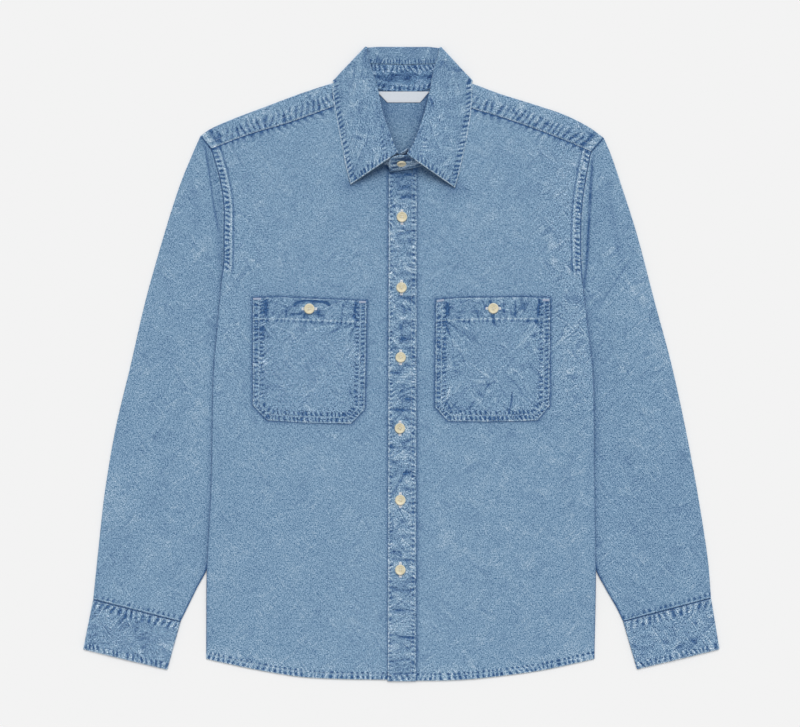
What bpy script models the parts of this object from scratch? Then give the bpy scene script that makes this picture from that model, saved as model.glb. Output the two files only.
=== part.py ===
"""Washed chambray work shirt, buttoned up and laid flat on a table with its front up.

Sizes are in millimetres and become metres in the meshes. X runs across the shirt, to the wearer's
left. Y runs from hem to collar. Z is up, and the table is at Z = 0. Each cloth piece is one wall,
and pieces that lie on each other are a layer apart.
"""
import math
from collections import namedtuple

import bmesh
import bpy
import numpy as np
from mathutils import Vector

MM = 0.001
MERGE = 1e-6

# Cloth wall, the air left between pieces, and the step from one laid piece to the next
WALL = 1.0
GAP = 0.3
LAYER = WALL + GAP

# Layer numbers of the laid pieces, from the table up
BACK_LAYER, FRONT_LAYER, PATCH_LAYER, BUTTON_LAYER = 0, 1, 2, 3

# Sleeve tubes: thickness when pressed flat, soft crown at mid width, and share of the width it takes
SLEEVE_THICK = 2 * WALL + 2 * GAP
SLEEVE_CROWN = 2.0
CROWN_WIDTH = 0.62
CUFF_WALL = 1.3
CUFF_THICK = 2 * CUFF_WALL + 2 * GAP
CUFF_CROWN = 0.4

# The body lies on the sleeves' inner folds: full rise near the side, then a slope down to the table
TUCK_RISE = SLEEVE_THICK + GAP
TUCK_WIDTH = 18.0
TUCK_SLOPE = 25.0
TUCK_TOP, TUCK_TOP_FULL = 225.0, 112.0
TUCK_END, TUCK_END_FULL = -360.0, -256.0

# Buttons, and the section that is turned: share of the radius, share of the thickness
BUTTON_DIAMETER = 13.0
COLLAR_BUTTON_DIAMETER = 11.5
BUTTON_THICK = 2.6
BUTTON_SIDES = 16
BUTTON_SECTION = [(0, 0.62), (0.62, 0.66), (0.76, 0.98), (0.9, 1), (1, 0.72), (0.97, 0.3), (0.8, 0), (0, 0)]

# How finely the panels are divided. The back starts at this step of the armhole, below the yoke.
ARM_STEPS = 8
BACK_SEAM_STEP = 3
CAP_STEPS = 2
NECK_STEPS = 8
SIDE_STEPS = 14
SLEEVE_STEPS = 14
SWELL_STEPS = 3
CUFF_STEPS = (8, 4)
PLACKET_STEPS = 12
POCKET_STEPS = (8, 5)
LABEL_STEPS = 4
FOLD_STEPS = 4
FRONT_COLUMNS = (0, 0.2, 0.4, 0.6, 0.8, 0.843, 0.882, 0.918, 0.959, 1)
BACK_COLUMNS = (0, 0.019, 0.038, 0.055, 0.073, 0.092, 0.28, 0.5,
                0.72, 0.908, 0.927, 0.945, 0.962, 0.981, 1)

# Outlines as laid, (x, y), for the picture's left side (the wearer's right) and its right side
SHOULDER_FOLD = {
    "right": [(-71, 354), (-87, 351), (-127, 338), (-167, 323), (-207, 308), (-237, 295), (-251, 285.5)],
    "left": [(76, 354), (90.5, 350), (123, 338), (163, 325.5), (203, 312), (233, 297), (252.5, 283)],
}
YOKE_SEAM = {
    "right": [(-68, 328), (-84.5, 322.5), (-141.5, 302), (-189, 288), (-238, 269.5)],
    "left": [(73, 327.5), (88, 320), (123, 309.5), (157, 298), (198, 282.5), (237, 266)],
}
ARMHOLE = {
    "right": [(-238, 269.5), (-227.5, 233), (-222, 198), (-222, 163), (-222, 128), (-224.5, 109.5)],
    "left": [(237, 266), (230.5, 233), (225, 191), (224, 145), (225.5, 107)],
}
SIDE = {
    "right": [(-224.5, 109.5), (-230.5, 43), (-235.5, -19.5), (-237.5, -142), (-240, -194.5),
              (-243, -255.5), (-244, -366)],
    "left": [(225.5, 107), (233, 43), (239.5, -19.5), (241, -133), (242.5, -254.5), (241, -367.5)],
}
NECKLINE = {
    "right": [(-68, 328), (-66, 312), (-58, 292), (-42.5, 270), (-24.5, 255), (-13, 249.5), (13, 247.5)],
    "left": [(73, 327.5), (72, 312), (62.5, 292), (47, 269.5), (30, 254.5), (13.3, 247.5)],
}
BACK_NECK = [(-71, 354), (-52, 350.5), (-27, 346), (2, 344.5), (30.5, 346), (57, 350.5), (76, 354)]
HEM = {
    "right": [(13, -395), (-19.5, -394.5), (-73, -393.5), (-142, -389.5), (-197.5, -381), (-244, -366)],
    "left": [(13.3, -395.5), (60.5, -395.5), (103.5, -392.5), (173.5, -384), (241, -367.5)],
}
BACK_HEM = [(-244, -366), (-197.5, -380), (-142, -388.5), (-73, -392.5), (0, -393.5),
            (60.5, -394), (103.5, -391.5), (173.5, -383), (241, -367.5)]
SLEEVE_OUTER = {
    "right": [(-262, 260.5), (-278, 220.5), (-297, 160.5), (-319.5, 80.5), (-338, 0.5),
              (-357, -79.5), (-370.5, -159.5), (-379.5, -239.5), (-385, -293)],
    "left": [(262, 260.5), (275.5, 220.5), (294.5, 160.5), (315.5, 80.5), (337, 0.5),
             (354.5, -79.5), (369.5, -159.5), (382, -239.5), (386.5, -291.5)],
}
SLEEVE_INNER = {
    "right": [(-219, 114), (-224.5, 96), (-226.5, 74), (-226, 50), (-224, 15), (-223, -25), (-222.5, -75),
              (-223, -132), (-230, -190), (-236, -225), (-242.5, -254.5), (-255.5, -279.5),
              (-269.5, -303), (-277.5, -320.5)],
    "left": [(220, 112), (226, 94), (228.5, 72), (229, 47), (228, 14), (227.5, -27), (227.5, -77),
             (228, -132), (233, -190), (237.5, -225), (242, -254.5), (254.5, -279.5),
             (268, -303), (276.5, -320.5)],
}
CUFF_EDGE = {
    "right": [(-397.5, -355.5), (-292.5, -381)],
    "left": [(397, -355.5), (294, -380.5)],
}
PLACKET_LEFT = [(-16.5, 238.5), (-16.5, 100), (-17, -100), (-17.5, -397)]
PLACKET_RIGHT = [(19.5, 238.5), (19, 100), (18.5, -100), (18, -397)]
LABEL_TOP = [(-30, 340), (34.5, 340)]
LABEL_BOTTOM = [(-17.5, 327), (23, 327)]

# Patch pockets: opening edge, bottom edge, and the sides, which end in a cut corner
Pocket = namedtuple("Pocket", "top left right")
POCKETS = {
    "right": Pocket(
        top=[(-186, 83.5), (-174, 85.5), (-56, 85), (-43, 80)],
        left=[(-186, 83.5), (-186, -51), (-168, -70)],
        right=[(-43, 80), (-45.5, -56), (-62.5, -74)],
    ),
    "left": Pocket(
        top=[(42.5, 80), (55, 83.5), (174, 84), (186, 81.5)],
        left=[(42.5, 80), (41.5, -53), (57.5, -71)],
        right=[(186, 81.5), (185, -52), (169.5, -70)],
    ),
}

FRONT_BUTTONS = [(0.5, 184), (0, 96), (-1, 9), (-2, -79.5), (-1.5, -169), (-1.5, -256)]
POCKET_BUTTONS = {"right": (-115, 69.5), "left": (114.5, 70)}

# Collar sections round the neck. Each row is one section across the band: where it is sewn to the
# neckline, where it rolls over, the share of that width the stand takes, and where the fall ends.
# The rises are heights over the laid layers.
Section = namedtuple(
    "Section", "seam_x seam_y seam_rise roll_x roll_y roll_rise share edge_x edge_y edge_rise")
RIGHT_FRONT_SECTIONS = [
    Section(-72.5, 343, 0, -43.0, 385.5, 0.0, 0.60, -86.0, 341.0, 0.0),
    Section(-74.0, 327, 0, -38.0, 368.0, 0.5, 0.68, -83.0, 318.0, 0.0),
    Section(-71.0, 309.5, 0, -30.5, 342.0, 2.0, 0.74, -78.5, 294.0, 0.0),
    Section(-62.0, 289.5, 0, -24.0, 312.0, 6.0, 0.80, -74.0, 271.0, 0.3),
    Section(-45.5, 268, 0, -15.5, 288.0, 12.0, 0.86, -69.5, 248.0, 0.8),
    Section(-27.0, 253, 0, -9.5, 271.0, 18.0, 0.90, -66.0, 234.0, 1.4),
    Section(-14.5, 247.5, 0, -4.8, 262.5, 23.0, 0.94, -63.5, 224.5, 2.0),
]
RIGHT_END_SECTIONS = [
    Section(-5.0, 246.3, 0, -1.0, 262.2, 21.8, 1, 0, 0, 0),
    Section(4.0, 246.5, 0, 3.5, 264.8, 21.5, 1, 0, 0, 0),
    Section(11.0, 249.0, 0, 8.0, 268.5, 16.0, 1, 0, 0, 0),
]
LEFT_FRONT_SECTIONS = [
    Section(77.5, 343, 0, 46.5, 384.5, 0.0, 0.60, 88.0, 341.0, 0.0),
    Section(78.0, 327, 0, 41.0, 367.0, 0.5, 0.68, 87.0, 320.0, 0.0),
    Section(75.5, 309.5, 0, 36.5, 342.0, 2.0, 0.74, 84.0, 297.0, 0.0),
    Section(65.5, 288, 0, 29.0, 311.0, 6.0, 0.80, 79.5, 273.0, 0.3),
    Section(49.5, 267, 0, 20.0, 285.5, 12.0, 0.86, 74.5, 250.5, 0.8),
    Section(32.0, 252, 0.4, 13.5, 269.5, 18.0, 0.90, 70.5, 234.0, 1.4),
    Section(19.5, 246, 1.3, 7.0, 260.0, 23.0, 0.94, 66.5, 220.5, 2.0),
]
LEFT_END_SECTIONS = [
    Section(2.0, 242.5, 1.5, -2.0, 258.5, 23.0, 1, 0, 0, 0),
    Section(-9.5, 241, 1.5, -12.5, 256.0, 19.5, 1, 0, 0, 0),
    Section(-14.5, 240.3, 1.5, -17.0, 250.5, 12.5, 1, 0, 0, 0),
]
BACK_SECTIONS = [
    Section(45.5, 348, 0, 34.5, 395.5, 0, 0.565, 62.0, 359.0, 0),
    Section(24.5, 342, 0, 19.5, 395.5, 0, 0.61, 31.0, 360.0, 0),
    Section(2.0, 341, 0, 2.0, 395.5, 0, 0.60, 2.0, 360.5, 0),
    Section(-20.5, 342, 0, -15.0, 395.5, 0, 0.61, -27.0, 360.0, 0),
    Section(-42.0, 348, 0, -30.0, 395.5, 0, 0.565, -58.0, 359.0, 0),
]
RIGHT_CREASE = Section(-68.0, 356, 0, -43.5, 394.8, 0, 0.52, -85.0, 352.5, 0)
LEFT_CREASE = Section(73.0, 356, 0, 48.0, 394.3, 0, 0.52, 88.0, 352.5, 0)
CREASE_TURNS = (-90, -45, 0, 45, 90)
STAND_ROWS = (0, 0.33, 0.67, 1)
FALL_ROWS = (0.15, 0.32, 0.5, 0.67, 0.84, 1)

# Most of the fall's width that can lie over the stand, the extra room in its roll at the front, and
# the collar button's place up the stand
MOST_COVERED = 0.9
ROLL_EASE = 0.6
BUTTON_SEAT = 0.52

CLOTH_COLOUR = (0.20, 0.33, 0.49, 1)
INSIDE_COLOUR = (0.17, 0.29, 0.45, 1)
LABEL_COLOUR = (0.85, 0.86, 0.86, 1)
BUTTON_COLOUR = (0.76, 0.68, 0.48, 1)


# Scene, materials and objects

def empty_scene():
    for thing in list(bpy.data.objects):
        bpy.data.objects.remove(thing)


def material(name, colour, roughness):
    made = bpy.data.materials.new(name)
    made.use_nodes = True
    shader = made.node_tree.nodes["Principled BSDF"]
    shader.inputs["Base Color"].default_value = colour
    shader.inputs["Roughness"].default_value = roughness
    shader.inputs["Metallic"].default_value = 0.0
    return made


def add_object(name, mesh, finish, shirt):
    mesh.materials.append(finish)
    thing = bpy.data.objects.new(name, mesh)
    shirt.objects.link(thing)
    return thing


def mesh_from(name, points, faces):
    """A mesh in metres from points in millimetres; points that coincide become one."""
    mesh = bpy.data.meshes.new(name)
    mesh.from_pydata([Vector(p) * MM for p in points], [], faces)
    work = bmesh.new()
    work.from_mesh(mesh)
    bmesh.ops.remove_doubles(work, verts=work.verts, dist=MERGE)
    work.to_mesh(mesh)
    work.free()
    return mesh


def grid_faces(rows, columns, start=0, flipped=False):
    """Quads of a grid of points that are listed row by row."""
    faces = []
    for r in range(rows - 1):
        for c in range(columns - 1):
            a = start + r * columns + c
            quad = (a, a + 1, a + columns + 1, a + columns)
            faces.append(quad[::-1] if flipped else quad)
    return faces


def sheet(name, points, faces, finish, shirt, offset=-1.0):
    """A cloth wall: an open surface that Solidify makes one wall thick."""
    thing = add_object(name, mesh_from(name, points, faces), finish, shirt)
    wall = thing.modifiers.new("wall", "SOLIDIFY")
    wall.thickness = WALL * MM
    wall.offset = offset
    wall.use_even_offset = True
    return thing


# Curves and surfaces

def smooth(value):
    """0 to 1 with a soft start and end."""
    value = min(max(value, 0.0), 1.0)
    return value * value * (3 - 2 * value)


def even_shares(steps):
    return [i / steps for i in range(steps + 1)]


def smooth_line(points, pieces=10):
    """A dense curve through the points of an outline (Catmull-Rom)."""
    points = [Vector(p) for p in points]
    if len(points) == 2:
        return points
    ends = [2 * points[0] - points[1]] + points + [2 * points[-1] - points[-2]]
    line = []
    for a, b, c, d in zip(ends, ends[1:], ends[2:], ends[3:]):
        for i in range(pieces):
            t = i / pieces
            line.append(0.5 * (2 * b + (c - a) * t + (2 * a - 5 * b + 4 * c - d) * t * t
                               + (3 * b - 3 * c + d - a) * t ** 3))
    return line + [points[-1]]


def along(points, shares, corners=False):
    """The points at these shares of an outline's length, on straight runs if it has corners."""
    line = [Vector(p) for p in points] if corners else smooth_line(points)
    steps = [(b - a).length for a, b in zip(line, line[1:])]
    reach = np.concatenate([[0.0], np.cumsum(steps)])
    wanted = np.array(shares) * reach[-1]
    axes = [np.interp(wanted, reach, [p[k] for p in line]) for k in range(2)]
    return [Vector(p) for p in zip(*axes)]


def joined(first, second):
    return first + second[1:]


def patch(top, bottom, left, right, columns=None):
    """Rows of plan points that fill the space between four edges (a Coons patch)."""
    columns = columns or even_shares(len(top) - 1)
    rows = []
    for v, start, end in zip(even_shares(len(left) - 1), left, right):
        row = []
        for u, high, low in zip(columns, top, bottom):
            ruled = start.lerp(end, u) + high.lerp(low, v)
            corner = top[0].lerp(top[-1], u).lerp(bottom[0].lerp(bottom[-1], u), v)
            row.append(ruled - corner)
        rows.append(row)
    return rows


def moved_off(line, distance):
    """A plan line moved sideways, to the left of its direction."""
    moved = []
    for i, point in enumerate(line):
        run = line[min(i + 1, len(line) - 1)] - line[max(i - 1, 0)]
        moved.append(point + Vector((-run.y, run.x)).normalized() * distance)
    return moved


# How the pieces lie

def side_edge(y):
    """Half width of the body at this height, at the side seams and armholes."""
    edge = ARMHOLE["right"] + SIDE["right"][1:]
    heights = [-p[1] for p in edge]
    return np.interp(-y, heights, [-p[0] for p in edge])


def rest(x, y):
    """Height that the tucked sleeve folds give the body above the table."""
    inward = side_edge(y) - abs(x)
    across = 1 - smooth((inward - TUCK_WIDTH) / TUCK_SLOPE)
    upper = smooth((TUCK_TOP - y) / (TUCK_TOP - TUCK_TOP_FULL))
    lower = smooth((y - TUCK_END) / (TUCK_END_FULL - TUCK_END))
    return TUCK_RISE * across * upper * lower


def laid(point, layer):
    """The underside of a piece that lies at this layer."""
    return Vector((point.x, point.y, rest(point.x, point.y) + layer * LAYER))


def laid_sheet(name, rows, layer, finish, shirt):
    """A flat piece on its layer, from plan rows that run left to right and down."""
    points = [laid(p, layer) for row in rows for p in row]
    faces = grid_faces(len(rows), len(rows[0]))
    return sheet(name, points, faces, finish, shirt)


def arm_line(side):
    return along(ARMHOLE[side], even_shares(ARM_STEPS))


def side_line(side):
    return along(SIDE[side], even_shares(SIDE_STEPS))


def cap_line(side):
    """The end of the yoke at the armhole, from the shoulder fold to the yoke seam."""
    return along([SHOULDER_FOLD[side][-1], YOKE_SEAM[side][-1]], even_shares(CAP_STEPS))


# Body panels

def back_seam_ends():
    return arm_line("right")[BACK_SEAM_STEP], arm_line("left")[BACK_SEAM_STEP]


def build_back(finish, shirt):
    start, end = back_seam_ends()
    below = Vector((0, -GAP))
    left = joined([p + below for p in arm_line("right")[BACK_SEAM_STEP:]], side_line("right"))
    right = joined([p + below for p in arm_line("left")[BACK_SEAM_STEP:]], side_line("left"))
    top = along([start + below, end + below], BACK_COLUMNS)
    bottom = along(BACK_HEM, BACK_COLUMNS)
    rows = patch(top, bottom, left, right, BACK_COLUMNS)
    return laid_sheet("back", rows, BACK_LAYER, finish, shirt)


def front_rows(side):
    """Plan rows of a front, from its yoke seam to its hem, centre edge first."""
    seam_gap = Vector((0, -GAP))
    neck = along(NECKLINE[side], even_shares(ARM_STEPS))
    centre = along([NECKLINE[side][-1], HEM[side][0]], even_shares(SIDE_STEPS))
    inner = joined(neck, centre)
    outer = joined(arm_line(side), side_line(side))
    inner[0] = inner[0] + seam_gap
    outer[0] = outer[0] + seam_gap
    top = [p + seam_gap for p in along(YOKE_SEAM[side], FRONT_COLUMNS)]
    bottom = along(HEM[side], FRONT_COLUMNS)
    return patch(top, bottom, inner, outer, FRONT_COLUMNS)


def build_front(side, finish, shirt):
    rows = front_rows(side)
    if side == "right":
        rows = [row[::-1] for row in rows]
    return laid_sheet("front_" + side, rows, FRONT_LAYER, finish, shirt)


def build_yoke(finish, shirt):
    """Back shoulder piece, folded at the shoulders and brought over to the front yoke seams."""
    folds = {s: along(SHOULDER_FOLD[s], FRONT_COLUMNS) for s in ("right", "left")}
    radius = (2 * WALL + GAP) / 2
    inset = {"right": moved_off(folds["right"], radius), "left": moved_off(folds["left"], -radius)}
    neck_line = along(BACK_NECK, even_shares(NECK_STEPS))
    neck_line[0] = inset["right"][0]
    neck_line[-1] = inset["left"][0]
    top = joined(joined(inset["right"][::-1], neck_line), inset["left"])
    ends = back_seam_ends()
    bottom = along(ends, even_shares(len(top) - 1))
    left = joined(cap_line("right"), arm_line("right")[:BACK_SEAM_STEP + 1])
    right = joined(cap_line("left"), arm_line("left")[:BACK_SEAM_STEP + 1])
    left[0], right[0] = top[0], top[-1]
    rows = patch(top, bottom, left, right)
    points = [Vector((p.x, p.y, 0)) for row in rows for p in row]
    faces = grid_faces(len(rows), len(top))
    for side in ("right", "left"):
        add_shoulder(side, folds[side], inset[side], radius, points, faces)
    return sheet("yoke", points, faces, finish, shirt)


def add_shoulder(side, fold, inset, radius, points, faces):
    """The rounded shoulder fold and the front strip of the yoke, as rows beyond the fold."""
    columns = len(fold)
    start = len(points)
    for step in range(FOLD_STEPS + 1):
        turn = math.pi * step / FOLD_STEPS
        for outer, inner in zip(fold, inset):
            place = inner.lerp(outer, math.sin(turn))
            points.append(Vector((place.x, place.y, radius * (1 - math.cos(turn)))))
    cap = cap_line(side)
    cap[0] = inset[-1]
    neck_edge = along([inset[0], YOKE_SEAM[side][0]], even_shares(CAP_STEPS))
    strip = patch(inset, along(YOKE_SEAM[side], FRONT_COLUMNS), neck_edge, cap)
    for row in strip[1:]:
        points.extend(Vector((p.x, p.y, 2 * radius)) for p in row)
    rows = FOLD_STEPS + 1 + CAP_STEPS
    faces.extend(grid_faces(rows, columns, start, flipped=side == "left"))


def build_placket(finish, shirt):
    shares = even_shares(PLACKET_STEPS)
    left, right = along(PLACKET_LEFT, shares), along(PLACKET_RIGHT, shares)
    rows = [[a, a.lerp(b, 0.5), b] for a, b in zip(left, right)]
    return laid_sheet("placket", rows, PATCH_LAYER, finish, shirt)


def pocket_side(line):
    """A pocket side down to its cut corner, then along the cut."""
    return along(line[:2], even_shares(POCKET_STEPS[1])) + [Vector(line[2])]


def build_pocket(side, finish, shirt):
    cut = POCKETS[side]
    shares = even_shares(POCKET_STEPS[0])
    bottom = along([cut.left[-1], cut.right[-1]], shares)
    rows = patch(along(cut.top, shares), bottom, pocket_side(cut.left), pocket_side(cut.right))
    return laid_sheet("pocket_" + side, rows, PATCH_LAYER, finish, shirt)


def build_label(finish, shirt):
    shares = even_shares(LABEL_STEPS)
    rows = [along(LABEL_TOP, shares), along(LABEL_BOTTOM, shares)]
    return laid_sheet("neck_label", rows, FRONT_LAYER, finish, shirt)


# Sleeves and cuffs: tubes pressed flat, with a rounded fold at each side

def inward_at(rows, station, end, beside):
    """Plan direction from a tube's fold to its middle: along the seam at its ends, else square to the fold."""
    across = (rows[station][beside] - rows[station][end]).normalized()
    if station in (0, len(rows) - 1):
        return across
    run = rows[station + 1][end] - rows[station - 1][end]
    square = Vector((-run.y, run.x)).normalized()
    return square if square.dot(across) > 0 else -square


def tube_ring(rows, station, tops, thick, inward):
    """One section of a flattened tube, moved in by a wall for its inner face."""
    radius = thick / 2
    line = rows[station]
    first = inward_at(rows, station, 0, 1)
    last = inward_at(rows, station, -1, -2)
    ring = []
    for step in range(FOLD_STEPS + 1):
        turn = math.pi * (step / FOLD_STEPS - 0.5)
        reach = radius - (radius - inward) * math.cos(turn)
        ring.append((line[0] + first * reach, radius + (radius - inward) * math.sin(turn)))
    ring += [(p, top - inward) for p, top in zip(line[1:-1], tops[1:-1])]
    for step in range(FOLD_STEPS + 1):
        turn = math.pi * (0.5 - step / FOLD_STEPS)
        reach = radius - (radius - inward) * math.cos(turn)
        ring.append((line[-1] + last * reach, radius + (radius - inward) * math.sin(turn)))
    ring += [(p, inward) for p in line[-2:0:-1]]
    return [Vector((p.x, p.y, z)) for p, z in ring]


def strip_faces(start, beyond, around, turned):
    """Quads between two rings of points."""
    faces = []
    for i in range(around):
        j = (i + 1) % around
        quad = (start + i, start + j, beyond + j, beyond + i)
        faces.append(quad[::-1] if turned else quad)
    return faces


def tube(name, rows, tops, thick, wall, flipped, finish, shirt):
    """A closed tube wall lofted through its sections, open at both ends."""
    outer = [tube_ring(rows, station, top, thick, 0.0) for station, top in enumerate(tops)]
    inner = [tube_ring(rows, station, top, thick, wall) for station, top in enumerate(tops)]
    around = len(outer[0])
    points = [p for ring in outer + inner for p in ring]
    faces = []
    for first, turned in ((0, False), (len(rows) * around, True)):
        for station in range(len(rows) - 1):
            start = first + station * around
            faces += strip_faces(start, start + around, around, turned)
    for station, turned in ((0, True), (len(rows) - 1, False)):
        start = station * around
        faces += strip_faces(start, len(rows) * around + start, around, turned)
    if not flipped:
        faces = [face[::-1] for face in faces]
    thing = add_object(name, mesh_from(name, points, faces), finish, shirt)
    thing.data.shade_smooth()
    return thing


def sleeve_rows(side):
    """Plan sections of a sleeve from the armhole seam to the cuff, outer fold first."""
    away = -GAP if side == "right" else GAP
    armhole = moved_off(joined(cap_line(side), arm_line(side)), away)
    armhole[-1] = Vector(SLEEVE_INNER[side][0])
    shares = even_shares(SLEEVE_STEPS)
    outer = along([armhole[0]] + SLEEVE_OUTER[side], shares)
    inner = along(SLEEVE_INNER[side], shares)
    cuff_seam = along([outer[-1], inner[-1]], even_shares(len(armhole) - 1))
    return patch(armhole, cuff_seam, outer, inner)


def build_sleeve(side, finish, shirt):
    rows = sleeve_rows(side)
    tops = []
    for s, row in enumerate(rows):
        swell = SLEEVE_CROWN * smooth(s / SWELL_STEPS) * smooth((SLEEVE_STEPS - s) / SWELL_STEPS)
        shares = [i / (len(row) - 1) for i in range(len(row))]
        crown = [math.sin(math.pi * min(u / CROWN_WIDTH, 1)) ** 2 for u in shares]
        tops.append([SLEEVE_THICK + swell * c for c in crown])
    tube("sleeve_" + side, rows, tops, SLEEVE_THICK, WALL, side == "left", finish, shirt)


def build_cuff(side, finish, shirt):
    shares = even_shares(CUFF_STEPS[0])
    seam = along([SLEEVE_OUTER[side][-1], SLEEVE_INNER[side][-1]], shares)
    edge = along(CUFF_EDGE[side], shares)
    down = (edge[0] - seam[0]).normalized() * GAP
    rows = [[(a + down).lerp(b, v) for a, b in zip(seam, edge)] for v in even_shares(CUFF_STEPS[1])]
    crown = [CUFF_CROWN * math.sin(math.pi * u) ** 2 for u in shares]
    tops = [[CUFF_THICK + c for c in crown] for _ in rows]
    tube("cuff_" + side, rows, tops, CUFF_THICK, CUFF_WALL, side == "left", finish, shirt)


# Collar: a stand sewn round the neckline and a fall that rolls over it

def collar_sections(with_ends):
    """(section, turn) round the neck, from the lapped left end to the right end under it."""
    ring = [(s, 90) for s in LEFT_FRONT_SECTIONS[::-1]]
    ring += [(LEFT_CREASE, turn) for turn in CREASE_TURNS[::-1]]
    ring += [(s, -90) for s in BACK_SECTIONS]
    ring += [(RIGHT_CREASE, turn) for turn in CREASE_TURNS]
    ring += [(s, 90) for s in RIGHT_FRONT_SECTIONS]
    if with_ends:
        ring = [(s, 90) for s in LEFT_END_SECTIONS[::-1]] + ring
        ring += [(s, 90) for s in RIGHT_END_SECTIONS]
    return ring


def outward(start, end, turn_side):
    """Plan direction away from the neck, square to a crease from start to end."""
    run = end - start
    return Vector((-run.y, run.x, 0)).normalized() * turn_side


def folded(place, low, high, out, turn):
    """A point on the half circle from the under layer (turn -90) to the upper one (turn 90)."""
    reach = (high - low) / 2
    angle = math.radians(turn)
    flat = Vector((place.x, place.y, (low + high) / 2))
    return flat + out * reach * math.cos(angle) + Vector((0, 0, reach * math.sin(angle)))


def band_point(section, turn, share):
    """A point of the band's middle surface, from the neck seam (0) to the roll (1)."""
    seam = Vector((section.seam_x, section.seam_y))
    roll = Vector((section.roll_x, section.roll_y))
    low = FRONT_LAYER * LAYER + WALL / 2
    rise = section.seam_rise + (section.roll_rise - section.seam_rise) * share
    high = PATCH_LAYER * LAYER + WALL / 2 + rise
    turn_side = 1 if seam.x < 0 else -1
    return folded(seam.lerp(roll, share), low, high, outward(seam, roll, turn_side), turn)


def band_frame(section, turn):
    """Unit directions up the band and away from the neck at the roll."""
    up = (band_point(section, turn, 1) - band_point(section, turn, 0.9)).normalized()
    seam = Vector((section.seam_x, section.seam_y))
    roll = Vector((section.roll_x, section.roll_y))
    angle = math.radians(turn)
    away = outward(seam, roll, 1 if seam.x < 0 else -1) * math.cos(angle)
    away += Vector((0, 0, math.sin(angle)))
    return up, (away - up * away.dot(up)).normalized()


def fall_section(section, turn):
    """The fall's middle surface at one section: up from the stand, over the roll, out to its edge."""
    width = (band_point(section, turn, 1) - band_point(section, turn, 0)).length
    start = band_point(section, turn, section.share + GAP / width)
    inner = band_point(section, turn, 1)
    up, away = band_frame(section, turn)
    over = (1 + math.sin(math.radians(turn))) / 2
    apart = LAYER + ROLL_EASE * over
    outer = inner + away * apart
    middle = (inner + outer) / 2
    line = [start, inner]
    for step in range(1, FOLD_STEPS):
        angle = math.pi * step / FOLD_STEPS
        line.append(middle + (up * math.sin(angle) - away * math.cos(angle)) * apart / 2)
    line.append(outer)
    roll = Vector((section.roll_x, section.roll_y))
    edge = Vector((section.edge_x, section.edge_y))
    seam = Vector((section.seam_x, section.seam_y))
    low = BACK_LAYER * LAYER + WALL / 2
    high = PATCH_LAYER * LAYER + WALL / 2 + section.edge_rise
    out = outward(edge, roll, 1 if edge.x < 0 else -1)
    end = folded(edge, low, high, out, turn)
    covered = min((seam - roll).dot(edge - roll) / (edge - roll).length_squared, MOST_COVERED)
    for share in FALL_ROWS:
        hump = LAYER * share * (1 - smooth((share - covered) / (1 - covered)))
        line.append(outer.lerp(end, share) + Vector((0, 0, hump * over)))
    return line


def build_stand(finish, shirt):
    points = []
    for section, turn in collar_sections(with_ends=True):
        points += [band_point(section, turn, row * section.share) for row in STAND_ROWS]
    sections = len(points) // len(STAND_ROWS)
    faces = grid_faces(sections, len(STAND_ROWS))
    thing = sheet("collar_stand", points, faces, finish, shirt, offset=0.0)
    thing.data.shade_smooth()
    return thing


def build_fall(finish, shirt):
    lines = [fall_section(section, turn) for section, turn in collar_sections(with_ends=False)]
    points = [p for line in lines for p in line]
    faces = grid_faces(len(lines), len(lines[0]))
    thing = sheet("collar_fall", points, faces, finish, shirt, offset=0.0)
    thing.data.shade_smooth()
    return thing


# Buttons: turned discs with a raised rim and a dished middle

def button_mesh(name, diameter):
    points = [Vector((out * diameter / 2, 0, up * BUTTON_THICK)) * MM for out, up in BUTTON_SECTION]
    edges = [(i, i + 1) for i in range(len(points) - 1)]
    mesh = bpy.data.meshes.new(name)
    mesh.from_pydata(points, edges, [])
    return mesh


def add_button(name, diameter, place, lean, finish, shirt):
    thing = add_object(name, button_mesh(name, diameter), finish, shirt)
    turn = thing.modifiers.new("turn", "SCREW")
    turn.steps = BUTTON_SIDES
    turn.render_steps = BUTTON_SIDES
    turn.use_merge_vertices = True
    turn.merge_threshold = MERGE
    turn.use_smooth_shade = True
    thing.location = place * MM
    thing.rotation_mode = "QUATERNION"
    thing.rotation_quaternion = Vector((0, 0, 1)).rotation_difference(lean)


def build_buttons(finish, shirt):
    upright = Vector((0, 0, 1))
    for number, place in enumerate(FRONT_BUTTONS, 1):
        seat = laid(Vector(place), BUTTON_LAYER)
        add_button(f"button_front_{number}", BUTTON_DIAMETER, seat, upright, finish, shirt)
    for side, place in POCKET_BUTTONS.items():
        seat = laid(Vector(place), BUTTON_LAYER)
        add_button("button_pocket_" + side, BUTTON_DIAMETER, seat, upright, finish, shirt)
    build_collar_button(finish, shirt)


def build_collar_button(finish, shirt):
    """The button on the lapped end of the stand, square to the band there."""
    section, beside = LEFT_END_SECTIONS[0], LEFT_END_SECTIONS[1]
    up = band_point(section, 90, 1) - band_point(section, 90, 0)
    run = band_point(section, 90, BUTTON_SEAT) - band_point(beside, 90, BUTTON_SEAT)
    lean = run.cross(up).normalized()
    seat = band_point(section, 90, BUTTON_SEAT) + lean * (WALL / 2 + GAP)
    add_button("button_collar", COLLAR_BUTTON_DIAMETER, seat, lean, finish, shirt)


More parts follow.
